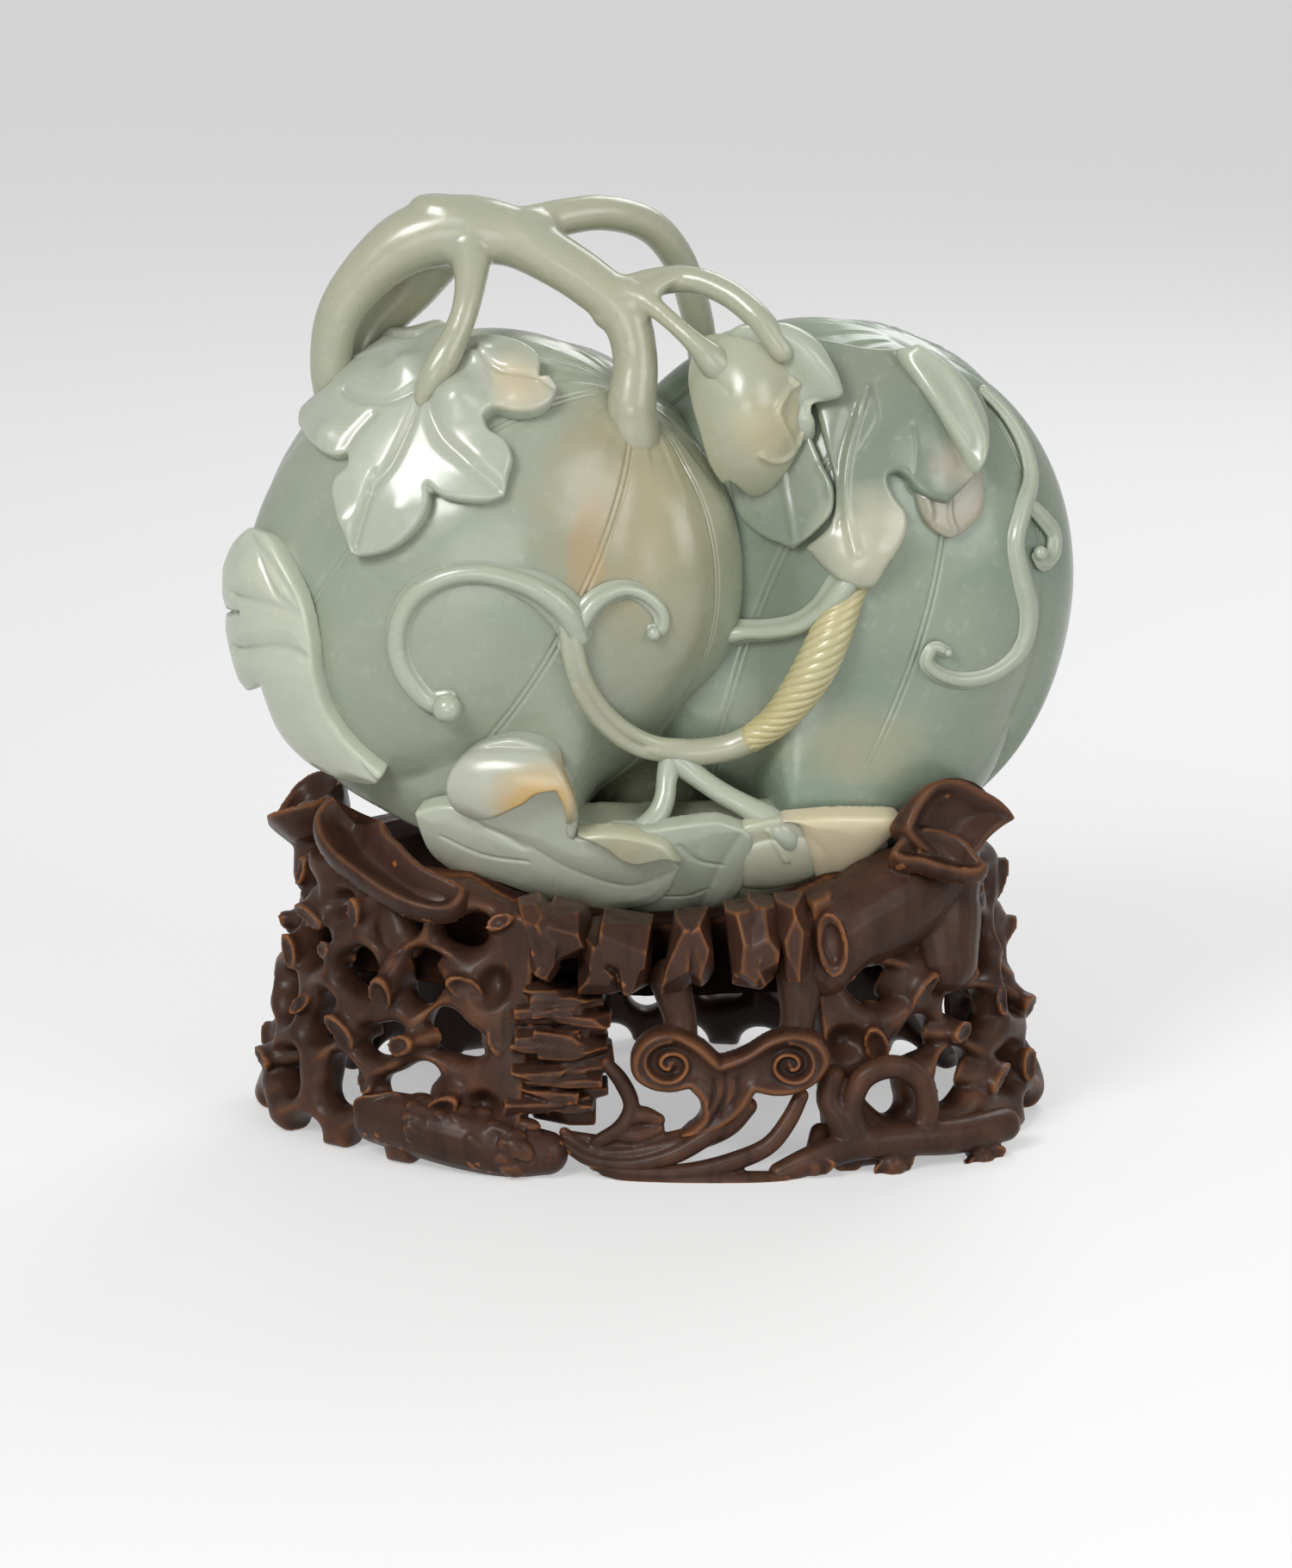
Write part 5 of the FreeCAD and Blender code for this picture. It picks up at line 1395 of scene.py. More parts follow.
@dataclass
class Vine(JadeMaker):
    """The arching vine with its loop, branches and leaf stalks, in millimetres."""

    voxel: float = 0.62
    crown: Sequence[Row] = (
        (-62.5, -2.0, 147.0, 4.6), (-64.6, -3.0, 158.0, 4.4), (-62.8, -4.0, 169.0, 4.8),
        (-56.5, -4.0, 178.0, 5.6), (-48.0, -4.0, 184.4, 6.8), (-38.0, -4.0, 186.6, 7.3),
        (-28.0, -5.5, 185.6, 6.3), (-19.5, -8.0, 181.6, 5.5), (-11.5, -10.0, 176.6, 5.2),
        (-5.0, -12.0, 170.8, 5.0), (-2.6, -13.5, 162.0, 4.6), (-3.4, -15.5, 152.0, 5.2),
    )
    back_strand: Sequence[Row] = (
        (-42.0, 1.0, 182.0, 6.0), (-48.0, 6.0, 174.0, 5.4), (-56.0, 9.0, 165.0, 5.0),
        (-60.5, 8.5, 155.0, 5.2),
    )
    loop: Sequence[Row] = (
        (-26.0, -4.0, 186.5, 4.6), (-18.0, -1.0, 188.6, 3.9), (-8.5, 3.5, 189.0, 3.7), (0.5, 8.5, 185.6, 3.6),
        (6.2, 12.5, 178.4, 3.5), (9.6, 16.5, 168.0, 3.4), (11.4, 20.0, 158.0, 3.3), (11.8, 22.0, 147.0, 3.4),
    )
    right_branch: Sequence[Row] = (
        (-6.0, -10.5, 174.0, 3.8), (0.5, -10.0, 176.6, 3.1), (8.0, -11.0, 177.6, 2.9),
        (15.5, -14.5, 175.6, 2.8), (22.0, -18.5, 171.0, 2.8), (27.0, -20.5, 164.5, 2.6),
    )
    left_stalk: Sequence[Row] = (
        (-36.0, -7.0, 184.0, 5.2), (-35.6, -13.0, 178.6, 3.5), (-36.6, -17.5, 172.6, 2.9),
        (-38.6, -20.0, 167.4, 2.9), (-40.6, -21.6, 163.6, 3.3), (-43.4, -22.6, 159.0, 3.0),
        (-45.6, -22.6, 154.0, 1.6),
    )
    middle_stalk: Sequence[Row] = (
        (-3.6, -13.0, 175.0, 3.0), (1.0, -15.5, 172.8, 2.2), (5.4, -17.6, 169.4, 2.0),
        (9.4, -19.4, 166.0, 2.3), (13.0, -19.6, 162.4, 3.4), (17.0, -18.0, 158.0, 3.6),
    )
    sheath: Sequence[Row] = (
        (-8.0, -12.0, 171.0, 3.6), (-2.4, -14.0, 173.6, 2.6), (3.0, -13.6, 177.0, 1.6),
        (5.6, -13.0, 178.4, 0.8),
    )
    foot: Sequence[Row] = (
        (-3.4, -15.5, 152.0, 5.0), (-3.0, -14.5, 146.0, 5.6), (-2.0, -11.0, 138.0, 5.0),
    )

    def build(self) -> None:
        """Model the vine and settle it."""
        runs = (self.crown, self.back_strand, self.right_branch, self.left_stalk, self.middle_stalk,
                self.loop, self.sheath, self.foot)
        swellings = [ball((-40.0, -4.0, 191.2), (8.2, 5.6, 2.6), 8),
                     ball((-55.0, -1.0, 180.0), (7.0, 6.5, 4.6), -40),
                     ball((-5.0, -11.0, 172.6), (6.2, 5.6, 6.0)),
                     ball((-24.0, -5.0, 186.8), (6.5, 5.2, 4.8), 10)]
        arms = joined([tube(run) for run in runs] + swellings)
        self.settle("vine", fused(arms, self.voxel, 14), VINE, "vine_crown", "vine_left_arm",
                    "vine_right_arm", "vine_back_strand", "vine_knob", "vine_loop_front", "vine_loop_back",
                    "vine_right_branch", "petiole_left", "petiole_middle")


@dataclass
class Wall:
    """The flared oval wall of the stand, with a flat chart: length round its foot, and height."""

    half_width: float = 84.0
    half_depth: float = 52.0
    height: float = 58.0
    thickness: float = 9.0
    waist_share: float = 0.93
    top_share: float = 0.85
    saddle_radius: float = 80.0
    saddle_height: float = 49.0

    def __post_init__(self) -> None:
        """Measure the way round the foot."""
        self.turns = np.linspace(0, 2 * math.pi, 721)
        chords = np.hypot(np.diff(self.half_width * np.cos(self.turns)),
                          np.diff(self.half_depth * np.sin(self.turns)))
        self.lengths = np.concatenate([[0], np.cumsum(chords)])

    @property
    def way_round(self) -> float:
        """The length of the foot's oval."""
        return float(self.lengths[-1])

    def length(self, degrees: float) -> float:
        """The way round the foot to a turn, less than nothing for a turn below zero."""
        whole = math.floor(degrees / 360)
        length = np.interp(math.radians(degrees - 360 * whole), self.turns, self.lengths)
        return float(length) + whole * self.way_round

    def share(self, height: np.ndarray) -> np.ndarray:
        """The share of the foot's half sizes that the wall keeps at a height."""
        return np.interp(height / self.height, [0, 0.5, 1], [1, self.waist_share, self.top_share])

    def frame_at(self, chart: np.ndarray) -> tuple[np.ndarray, np.ndarray]:
        """Places in the middle of the wall's thickness, and the outward directions there."""
        turn = np.interp(chart[:, 0] % self.way_round, self.lengths, self.turns)
        share = self.share(chart[:, 1])
        wide = self.half_width * share - self.thickness / 2
        deep = self.half_depth * share - self.thickness / 2
        place = np.stack([wide * np.cos(turn), deep * np.sin(turn), chart[:, 1]], axis=1)
        outward = unit(np.stack([np.cos(turn) / wide, np.sin(turn) / deep, np.zeros(len(turn))], axis=1))
        return place, outward

    def top(self, length: float) -> float:
        """The height of the wall's upper edge, which the saddle cuts down at the front and back."""
        place, _ = self.frame_at(np.array([[length, self.height]]))
        across = min(abs(float(place[0, 0])), self.saddle_radius)
        edge = self.saddle_height + self.saddle_radius - math.sqrt(self.saddle_radius ** 2 - across ** 2)
        return min(edge, self.height)


WALL = Wall()


@dataclass
class Openwork(WoodMaker):
    """A stretch of the wall, pierced between knobby branches with cut stubs."""

    node: str
    start: float
    end: float
    columns: int = 24
    hole_half_width: float = 6.2
    hole_half_height: float = 5.0
    arch_half_width: float = 5.5
    arch_height: float = 4.8
    rim: float = 2.8
    stub_radius: float = 2.9
    stub_length: float = 4.4
    roll: float = 4.2
    edge_half: float = 0.22
    swell_half: float = 0.84
    inset: float = 0.5
    pit_half: Row = (3.6, 3.2)
    pit_depth: float = 4.2
    pit_margin: float = 5.0
    end_overlap: float = 0.5
    voxel: float = 0.62
    rows: Sequence[Row] = ((0.0, 0.24), (0.5, 0.45), (0.0, 0.66), (0.5, 0.86))
    sizes: Sequence[float] = (1.0, 0.8, 1.1, 0.9, 1.05)
    shifts: Sequence[float] = (0.0, 0.3, -0.2, -0.4, 0.2, 0.4, -0.3)

    def build(self) -> None:
        """Model the stretch and settle it."""
        self.low, self.high = WALL.length(self.start), WALL.length(self.end)
        outline, holes = self._outline(), self._holes()
        slab = self._slab(outline, holes)
        flat = coordinates(slab)
        spots, layer = flat[:, :2], np.clip(flat[:, 2] / (self.voxel * 3), -1, 1)
        edge = distance_to_path(spots, outline, closed=True)
        ends = np.minimum(np.abs(spots[:, 0] - outline[:, 0].min()),
                          np.abs(spots[:, 0] - outline[:, 0].max()))
        edge = np.where(ends < self.rim * 2, np.minimum(self.rim, edge + self.rim), edge)
        for hole in holes:
            edge = np.minimum(edge, distance_to_path(spots, hole, closed=True))
        place, outward = WALL.frame_at(spots)
        roll = np.sqrt(1 - (1 - np.clip(edge / self.roll, 0, 1)) ** 2)
        half = WALL.thickness / 2 * (self.edge_half + self.swell_half * roll)
        sway = 0.9 * np.sin(spots[:, 0] / 5.3 + spots[:, 1] / 7)
        sway += 0.6 * np.sin(spots[:, 1] / 4.1 - spots[:, 0] / 9)
        worn = self._pits(spots, holes) * np.clip(layer, 0, 1)
        move_to(slab, place + outward * (layer * half + sway - self.inset - worn)[:, None])
        parts = [slab] + self._stubs()
        self.settle(self.node, fused(joined(parts), self.voxel, 3), BARK, self.node)

    def _columns(self, offset: float, margin: float) -> list[tuple[int, float]]:
        """Number and way round of each column that keeps a margin to the ends of the stretch."""
        found = []
        for number in range(self.columns):
            length = WALL.way_round * (number + offset) / self.columns
            for lap in (0, -1):
                spot = length + lap * WALL.way_round
                if self.low + margin < spot < self.high - margin:
                    found.append((number, spot))
        return found

    def _holes(self) -> list[np.ndarray]:
        """The outlines of the holes on the chart."""
        holes = []
        for row, (offset, height_share) in enumerate(self.rows):
            for number, length in self._columns(offset, self.hole_half_width + self.rim):
                size = self.sizes[(number + row * 2) % len(self.sizes)]
                rise = WALL.height * height_share + self.shifts[(number + row * 3) % len(self.shifts)] * 4.4
                half_height = self.hole_half_height * size
                if rise + half_height + self.rim > WALL.top(length):
                    continue
                turns = np.linspace(0, 2 * math.pi, 30, endpoint=False)
                phase = number * 1.7 + row * 2.3
                lobes = 1 + 0.15 * np.sin(2 * turns + phase) + 0.1 * np.sin(3 * turns + phase * 1.9)
                wide = self.hole_half_width * size / float(WALL.share(np.array(rise)))
                across = length + wide * lobes * np.cos(turns)
                up = rise + half_height * lobes * np.sin(turns)
                holes.append(np.stack([across, up], axis=1))
        return holes

    def _pits(self, spots: np.ndarray, holes: Sequence[np.ndarray]) -> np.ndarray:
        """Depth of the blind pits in the outer face, which lie where no hole goes through."""
        depth = np.zeros(len(spots))
        for row, (offset, height_share) in enumerate(self.rows):
            for number, length in self._columns(offset, 1.0):
                middle = np.array([length, WALL.height * height_share])
                if any(np.linalg.norm(hole - middle, axis=1).min() < self.pit_margin for hole in holes):
                    continue
                wide = self.pit_half[0] + 0.5 * math.sin(number)
                tall = self.pit_half[1] + 0.6 * math.cos(row + number)
                away = (spots - middle) / np.array([wide, tall])
                depth = np.maximum(depth, self.pit_depth * np.exp(-np.einsum("ij,ij->i", away, away) ** 1.5))
        return depth

    def _outline(self) -> np.ndarray:
        """The stretch's outline on the chart, with an arch between each pair of feet."""
        corners = [(self.low - self.end_overlap, 0.0)]
        for _, length in self._columns(0.5, self.hole_half_width + self.rim):
            for turn in np.linspace(math.pi, 0, 11):
                corners.append((length + self.arch_half_width * math.cos(turn),
                                self.arch_height * math.sin(turn)))
        corners.append((self.high + self.end_overlap, 0.0))
        count = int((self.high - self.low) / 2)
        for length in np.linspace(self.high + self.end_overlap, self.low - self.end_overlap, count):
            corners.append((length, WALL.top(length)))
        return np.array(corners)

    def _slab(self, outline: np.ndarray, holes: Sequence[np.ndarray]) -> bpy.types.Mesh:
        """An even slab over the chart with the holes through it."""
        shape = bmesh.new()
        for loop in (outline, *holes):
            ring = [shape.verts.new((x, y, self.voxel * 3)) for x, y in loop]
            for number, corner in enumerate(ring):
                shape.edges.new((corner, ring[(number + 1) % len(ring)]))
        bmesh.ops.triangle_fill(shape, use_beauty=True, edges=shape.edges[:])
        slivers = [face for face in shape.faces if face.calc_area() < SLIVER]
        bmesh.ops.delete(shape, geom=slivers, context="FACES")
        grown = bmesh.ops.extrude_face_region(shape, geom=shape.faces[:])
        moved = [item for item in grown["geom"] if isinstance(item, bmesh.types.BMVert)]
        bmesh.ops.translate(shape, verts=moved, vec=(0, 0, -self.voxel * 6))
        bmesh.ops.recalc_face_normals(shape, faces=shape.faces[:])
        return fused(as_mesh(shape), self.voxel, 2)

    def _stubs(self) -> list[bpy.types.Mesh]:
        """Short cut branches between the holes, each with a flared rim round a hollow end."""
        stubs = []
        for row, (offset, height_share) in enumerate(self.rows):
            for number, length in self._columns(offset + 0.5, self.stub_radius):
                pick = (number * 5 + row * 3) % 7
                rise = WALL.height * height_share + self.shifts[pick] * 3
                if pick == 2 or rise + 4 > WALL.top(length):
                    continue
                place, outward = WALL.frame_at(np.array([[length, rise]]))
                side = np.cross([0, 0, 1], outward[0])
                aside = side * 0.5 * math.sin(number * 2.1 + row)
                lean = unit(outward[0] + aside + np.array([0, 0, 0.4 - 0.15 * pick]))
                along = side * math.cos(number * 1.3 + row) + np.array([0, 0, math.sin(number * 1.3 + row)])
                radius = self.stub_radius * (0.8 + 0.08 * pick)
                stubs.append(cut_branch(place[0], lean, radius, self.stub_length + pick * 0.45, along))
        return stubs


def cut_branch(origin: np.ndarray, lean: np.ndarray, radius: float, length: float,
               along: np.ndarray) -> bpy.types.Mesh:
    """A short cut branch with a sharp oval rim round a shallow hollow, kept inside the outline of the part.

    Args:
        origin: The middle of its foot.
        lean: The unit direction that it points in.
        radius: Its radius.
        length: How far it reaches at most.
        along: The long direction of its oval end.

    Returns:
        The closed form.
    """
    room = np.array(BRANCH_ROOM)
    while np.any(np.abs((origin + lean * length)[:2]) > room - radius * 0.35):
        length *= 0.94
    profile = [(0, -radius), (radius * 1.5, -radius * 0.6), (radius * 1.2, length * 0.3),
               (radius * 0.95, length * 0.65), (radius * 1.1, length * 0.95), (radius * 1.08, length + 0.3),
               (radius * 0.85, length + 0.2), (radius * 0.6, length - 0.5), (0, length - 0.8)]
    return set_on(revolved(profile, 20), origin, lean, along, (1.2, 0.66, 1))


def revolved(profile: Sequence[Row], sides: int) -> bpy.types.Mesh:
    """Spin a profile of radii and heights about the Z axis."""
    shape = bmesh.new()
    corners = [shape.verts.new((radius, 0, height)) for radius, height in profile]
    edges = [shape.edges.new(pair) for pair in zip(corners, corners[1:])]
    bmesh.ops.spin(shape, geom=corners + edges, cent=(0, 0, 0), axis=(0, 0, 1), angle=2 * math.pi,
                   steps=sides, use_merge=True)
    bmesh.ops.remove_doubles(shape, verts=shape.verts[:], dist=1e-4)
    bmesh.ops.recalc_face_normals(shape, faces=shape.faces[:])
    return as_mesh(shape)


def set_on(mesh: bpy.types.Mesh, origin: Sequence[float], facing: Sequence[float], along: Sequence[float],
           size: Row = (1, 1, 1)) -> bpy.types.Mesh:
    """Turn a form made about the Z axis and move it to its place.

    Args:
        mesh: The form.
        origin: Where its origin goes.
        facing: The direction that its Z axis takes.
        along: The direction that its X axis takes, as nearly as it can.
        size: How much it grows along its own axes first.

    Returns:
        The same form.
    """
    upward = unit(np.array(facing, float))
    across = unit(np.cross(upward, np.array(along, float)))
    forward = np.cross(across, upward)
    local = coordinates(mesh) * np.array(size)
    move_to(mesh, np.array(origin) + local[:, :1] * forward + local[:, 1:2] * across + local[:, 2:] * upward)
    return mesh


@dataclass(frozen=True)
class Cap:
    """A hollow fungus cap: its middle, long direction, facing, half sizes, depth and the waves of its rim."""

    middle: Row
    along: Row
    facing: Row
    half: Row
    depth: float
    waves: Row = (0.08, 0.05)
    wall: float = 1.5

    def mesh(self) -> bpy.types.Mesh:
        """Model the cap."""
        length, width = self.half
        inner = 1 - self.wall / min(length, width)
        profile = [(0, -1.0), (0.45, -0.95), (0.8, -0.6), (0.97, 0.1), (1.02, 0.42), (0.97, 0.56),
                   (inner, 0.42), (inner * 0.9, 0.0), (inner * 0.62, -0.35), (0, -0.5)]
        form = revolved(profile, 72)
        places = coordinates(form)
        turn = np.arctan2(places[:, 1], places[:, 0])
        radius = np.linalg.norm(places[:, :2], axis=1)
        wave = 1 + self.waves[0] * np.sin(2 * turn + 0.7) + self.waves[1] * np.sin(5 * turn)
        lift = self.waves[0] * 3.2 * radius ** 2 * np.cos(2 * turn + 0.4)
        lift += self.waves[1] * 2 * radius ** 2 * np.sin(3 * turn)
        places[:, :2] *= wave[:, None] * np.array([length, width])
        places[:, 2] = (places[:, 2] + lift) * self.depth
        move_to(form, places)
        return set_on(form, self.middle, self.facing, self.along)


@dataclass
class Crag(WoodMaker):
    """A rock of chiselled chips, each a box cut by planes."""

    name: str
    chips: Sequence[tuple[Row, Row, float]]
    cuts: int = 9
    seed: int = 1
    cut_reach: float = 0.86
    cut_spread: float = 0.3
    worn_edge: float = 0.05

    def build(self) -> None:
        """Model the rock and settle it."""
        random = np.random.default_rng(self.seed)
        chips = [self._chip(middle, half, turn, random) for middle, half, turn in self.chips]
        self.settle(self.name, fused(joined(chips), 0.4, 1), BARK, self.name)

    def _chip(self, middle: Row, half: Row, turn: float, random: np.random.Generator) -> bpy.types.Mesh:
        """One block, cut by planes near its corners and worn along its edges."""
        shape = bmesh.new()
        bmesh.ops.create_cube(shape, size=2)
        for _ in range(self.cuts):
            facing = Vector(random.uniform(-1, 1, 3)).normalized()
            facing.y = -abs(facing.y)
            reach = self.cut_reach + self.cut_spread * random.random()
            bmesh.ops.bisect_plane(shape, geom=shape.verts[:] + shape.edges[:] + shape.faces[:],
                                   plane_co=facing * reach, plane_no=facing, clear_outer=True)
            rim = [edge for edge in shape.edges if edge.is_boundary]
            if rim:
                bmesh.ops.contextual_create(shape, geom=rim)
        bmesh.ops.bevel(shape, geom=shape.edges[:] + shape.verts[:], affect="EDGES",
                        offset=self.worn_edge, segments=2, profile=0.5, material=-1)
        mesh = as_mesh(shape)
        lean = math.radians(turn)
        along = (math.cos(lean), 0.12 * math.sin(lean * 3), math.sin(lean))
        return set_on(mesh, middle, (-math.sin(lean), 0, math.cos(lean)), along, half)


def traced(rows: Sequence[Row]) -> list[Row]:
    """Places that pixels of the photograph show, each row a pixel, its depth Y and a radius."""
    pixels = np.array([row[:2] for row in rows], float)
    places = [VIEW.at_depth(pixel[None], row[2])[0] for pixel, row in zip(pixels, rows)]
    return [(*place, row[3]) for place, row in zip(places, rows)]


def traced_place(x: float, y: float, depth: float) -> Row:
    """The place that a pixel of the photograph shows at a depth Y."""
    return tuple(VIEW.at_depth(np.array([[x, y]], float), depth)[0])


@dataclass
class Panel:
    """A flat face that a plate is carved on, with a chart in millimetres across and up."""

    origin: Row
    facing: Row = (0.0, -1.0, 0.0)

    def __post_init__(self) -> None:
        """Work out the directions across and up."""
        self.normal = unit(np.array(self.facing, float))
        self.across = unit(np.cross([0.0, 0.0, 1.0], -self.normal)) * -1
        self.up = np.cross(self.across, -self.normal) * -1

    def chart(self, pixels: Sequence[Row], lift: float = 0.0) -> np.ndarray:
        """The places on the chart that pixels of the photograph show."""
        rays = VIEW.rays(np.array([row[:2] for row in pixels], float))
        start = VIEW.place() - np.array(self.origin) - self.normal * lift
        found = start - rays * (start @ self.normal / (rays @ self.normal))[:, None]
        return np.stack([found @ self.across, found @ self.up], axis=1)

    def place(self, chart: np.ndarray, lift: np.ndarray | float = 0.0) -> np.ndarray:
        """The place in front of each spot of the chart."""
        flat = chart[:, :1] * self.across + chart[:, 1:] * self.up + np.array(self.origin)
        return flat + self.normal * np.reshape(lift, (-1, 1))


@dataclass
class Ruyi(Leaf):
    """The double scroll fungus: a dished plate with raised rims and winding ridges."""

    scrolls: Sequence[Row] = ((778, 1238, 43, 35, 1), (918, 1239, 40, 34, -1))
    turns: float = 1.45
    widest: float = 0.78
    dish: float = 1.5
    bowl: float = 1.1
    bowl_width: float = 0.75
    ridge: float = 1.9
    ridge_width: float = 0.62
    eye: float = 1.3
    eye_width: float = 0.16

    def _height(self, skin: Panel, spots: np.ndarray, edge: np.ndarray) -> np.ndarray:
        """Height of the plate's face over its back."""
        height = self.thickness * (0.5 + 0.5 * np.sqrt(1 - (1 - np.clip(edge / 1.6, 0, 1)) ** 2))
        height -= self.dish * self._hollowed(edge)
        for x, y, wide, tall, way in self.scrolls:
            winding = self._winding(x, y, wide, tall, way)
            gap = distance_to_path(spots, skin.chart(winding, self.thickness))
            middle = skin.chart([(x, y)], self.thickness)[0]
            away = np.linalg.norm((spots - middle) / np.array([wide, tall]) / VIEW.pixel, axis=1)
            height -= self.bowl * hump(away, self.bowl_width, 4)
            height += self.ridge * hump(gap, self.ridge_width) * np.clip(1.25 - away, 0, 1)
            height += self.eye * hump(away, self.eye_width)
        for nick in self.veins:
            gap = distance_to_path(spots, self._path(skin, nick, 0.5))
            height -= self.groove * hump(gap, self.groove_width)
        return height

    def _winding(self, x: float, y: float, wide: float, tall: float, way: int) -> list[Row]:
        """The pixels of a ridge that winds into the middle of a scroll."""
        rows = []
        for share in np.linspace(0, 1, 60):
            turn = math.pi / 2 - way * 2 * math.pi * self.turns * share
            reach = self.widest * (1 - 0.8 * share)
            rows.append((x + wide * reach * math.cos(turn) * -1, y - tall * reach * math.sin(turn)))
        return rows


@dataclass
class StandFront(WoodMaker):
    """The carving across the open front of the stand."""

    bark_chips: int = 46
    bark_lift: float = 6.0

    def build(self) -> None:
        """Model the pieces and settle them."""
        self._scroll_fungus()
        self._tails()
        self._posts()
        self._log()
        self._roots()

    def _scroll_fungus(self) -> None:
        """The double scroll, its neck running down into the tails."""
        plate = Ruyi(
            "ruyi_fungus",
            [(837, 1233), (812, 1212), (781, 1198), (750, 1206), (733, 1228), (734, 1252), (752, 1267),
             (778, 1272), (800, 1268), (812, 1282), (812, 1300), (790, 1322), (830, 1318), (862, 1296),
             (878, 1272), (900, 1276), (926, 1273), (952, 1258), (966, 1234), (955, 1210), (926, 1199),
             (895, 1205), (862, 1224)],
            sharp=(0, 8, 14),
            veins=[[(842, 1250), (842, 1272), (834, 1296)], [(828, 1256), (829, 1272), (824, 1288)],
                   [(856, 1254), (856, 1270), (850, 1284)]],
            thickness=5.6, sunk=1.0, groove=0.5, groove_width=0.45, voxel=0.34)
        self.lay(plate, Panel((0.0, -45.6, 0.0)), BARK)

    def _tails(self) -> None:
        """The tapering strands that sweep to the left along the foot."""
        left = [
            [(868, 1284, -47.0, 2.0), (846, 1306, -48.0, 2.3), (812, 1322, -48.6, 2.2),
             (768, 1333, -48.6, 2.0), (718, 1340, -48.2, 1.8), (680, 1334, -47.4, 1.5),
             (655, 1314, -46.0, 1.1)],
            [(848, 1300, -48.0, 1.8), (822, 1318, -49.6, 2.0), (780, 1341, -50.0, 2.0),
             (730, 1352, -49.8, 1.7), (682, 1345, -48.8, 1.4), (652, 1326, -47.4, 1.0)],
            [(830, 1300, -47.0, 1.8), (800, 1318, -47.6, 1.9), (755, 1326, -47.4, 1.7),
             (705, 1326, -46.8, 1.5), (664, 1318, -46.0, 1.0)],
        ]
        right = [
            [(930, 1272, -47.0, 1.6), (916, 1300, -48.4, 1.8), (893, 1329, -49.6, 1.9),
             (852, 1348, -50.4, 2.0), (800, 1360, -50.6, 1.9), (740, 1361, -50.2, 1.6),
             (690, 1353, -49.4, 1.1)],
            [(912, 1366, -50.2, 1.2), (880, 1369, -50.6, 1.8), (810, 1370, -50.8, 1.9),
             (745, 1368, -50.4, 1.5), (700, 1360, -49.8, 0.9)],
        ]
        stem = [[(704, 1234, -45.5, 1.4), (722, 1256, -46.4, 1.7), (733, 1284, -47.0, 1.7),
                 (722, 1308, -47.6, 1.8), (694, 1326, -47.4, 1.6)],
                [(728, 1300, -47.0, 1.6), (745, 1294, -47.0, 1.9), (764, 1300, -47.0, 1.5)],
                [(716, 1316, -47.4, 1.6), (740, 1318, -47.6, 2.0), (764, 1310, -47.4, 1.4)]]
        for name, strands in (("ruyi_tail_left", left + stem), ("ruyi_tail_right", right)):
            forms = [tube(traced(rows), 0.8, 16) for rows in strands]
            self.settle(name, fused(joined(forms), 0.34, 2), BARK, name)

    def _posts(self) -> None:
        """The posts from the scroll fungus up to the ledge."""
        left = [[(788, 1212, -44.0, 4.0), (790, 1185, -43.0, 3.4), (784, 1160, -42.6, 3.8),
                 (778, 1136, -42.6, 4.4)]]
        right = [[(922, 1212, -44.0, 4.0), (926, 1185, -43.0, 3.6), (928, 1160, -42.0, 4.2),
                  (926, 1120, -40.0, 5.0), (922, 1080, -38.0, 5.4)]]
        for name, stems in (("ruyi_post_left", left), ("ruyi_post_right", right)):
            forms = [tube(traced(rows)) for rows in stems]
            self.settle(name, fused(joined(forms), 0.5, 4), BARK, name)

    def _log(self) -> None:
        """The log along the foot, hollow at its end."""
        forms = [tube(traced([(440, 1296, -34.5, 5.6), (490, 1308, -40.0, 6.3), (545, 1322, -44.0, 6.5),
                              (596, 1334, -46.4, 5.8), (634, 1338, -47.4, 4.6)]))]
        hollow = Cap(
            traced_place(452, 1296, -38.5), (0.75, -0.5, -0.1), (-0.45, -0.85, 0.25), (7.2, 5.2), 3.4)
        scar = Cap(traced_place(594, 1346, -50.4), (1, -0.1, 0.0), (-0.1, -0.92, -0.1), (4.4, 2.4), 1.8)
        random = np.random.default_rng(5)
        for _ in range(self.bark_chips):
            share, turn = random.random(), random.uniform(-0.6, 2.2)
            middle = np.array(traced_place(480 + 130 * share, 1306 + 30 * share, -40.0 - 7 * share))
            away = np.array([0.1, -math.cos(turn), math.sin(turn)])
            half = random.uniform(1.0, 2.1)
            chip = ball((0, 0, 0), (half * 1.6, half, half * 0.7), rings=8)
            along = (1, -0.3, random.uniform(-0.7, 0.4))
            forms.append(set_on(chip, middle + away * self.bark_lift, away, along))
        forms += [hollow.mesh(), scar.mesh()]
        self.settle("log_front_left", fused(joined(forms), 0.38, 1), BARK, "log_front_left")

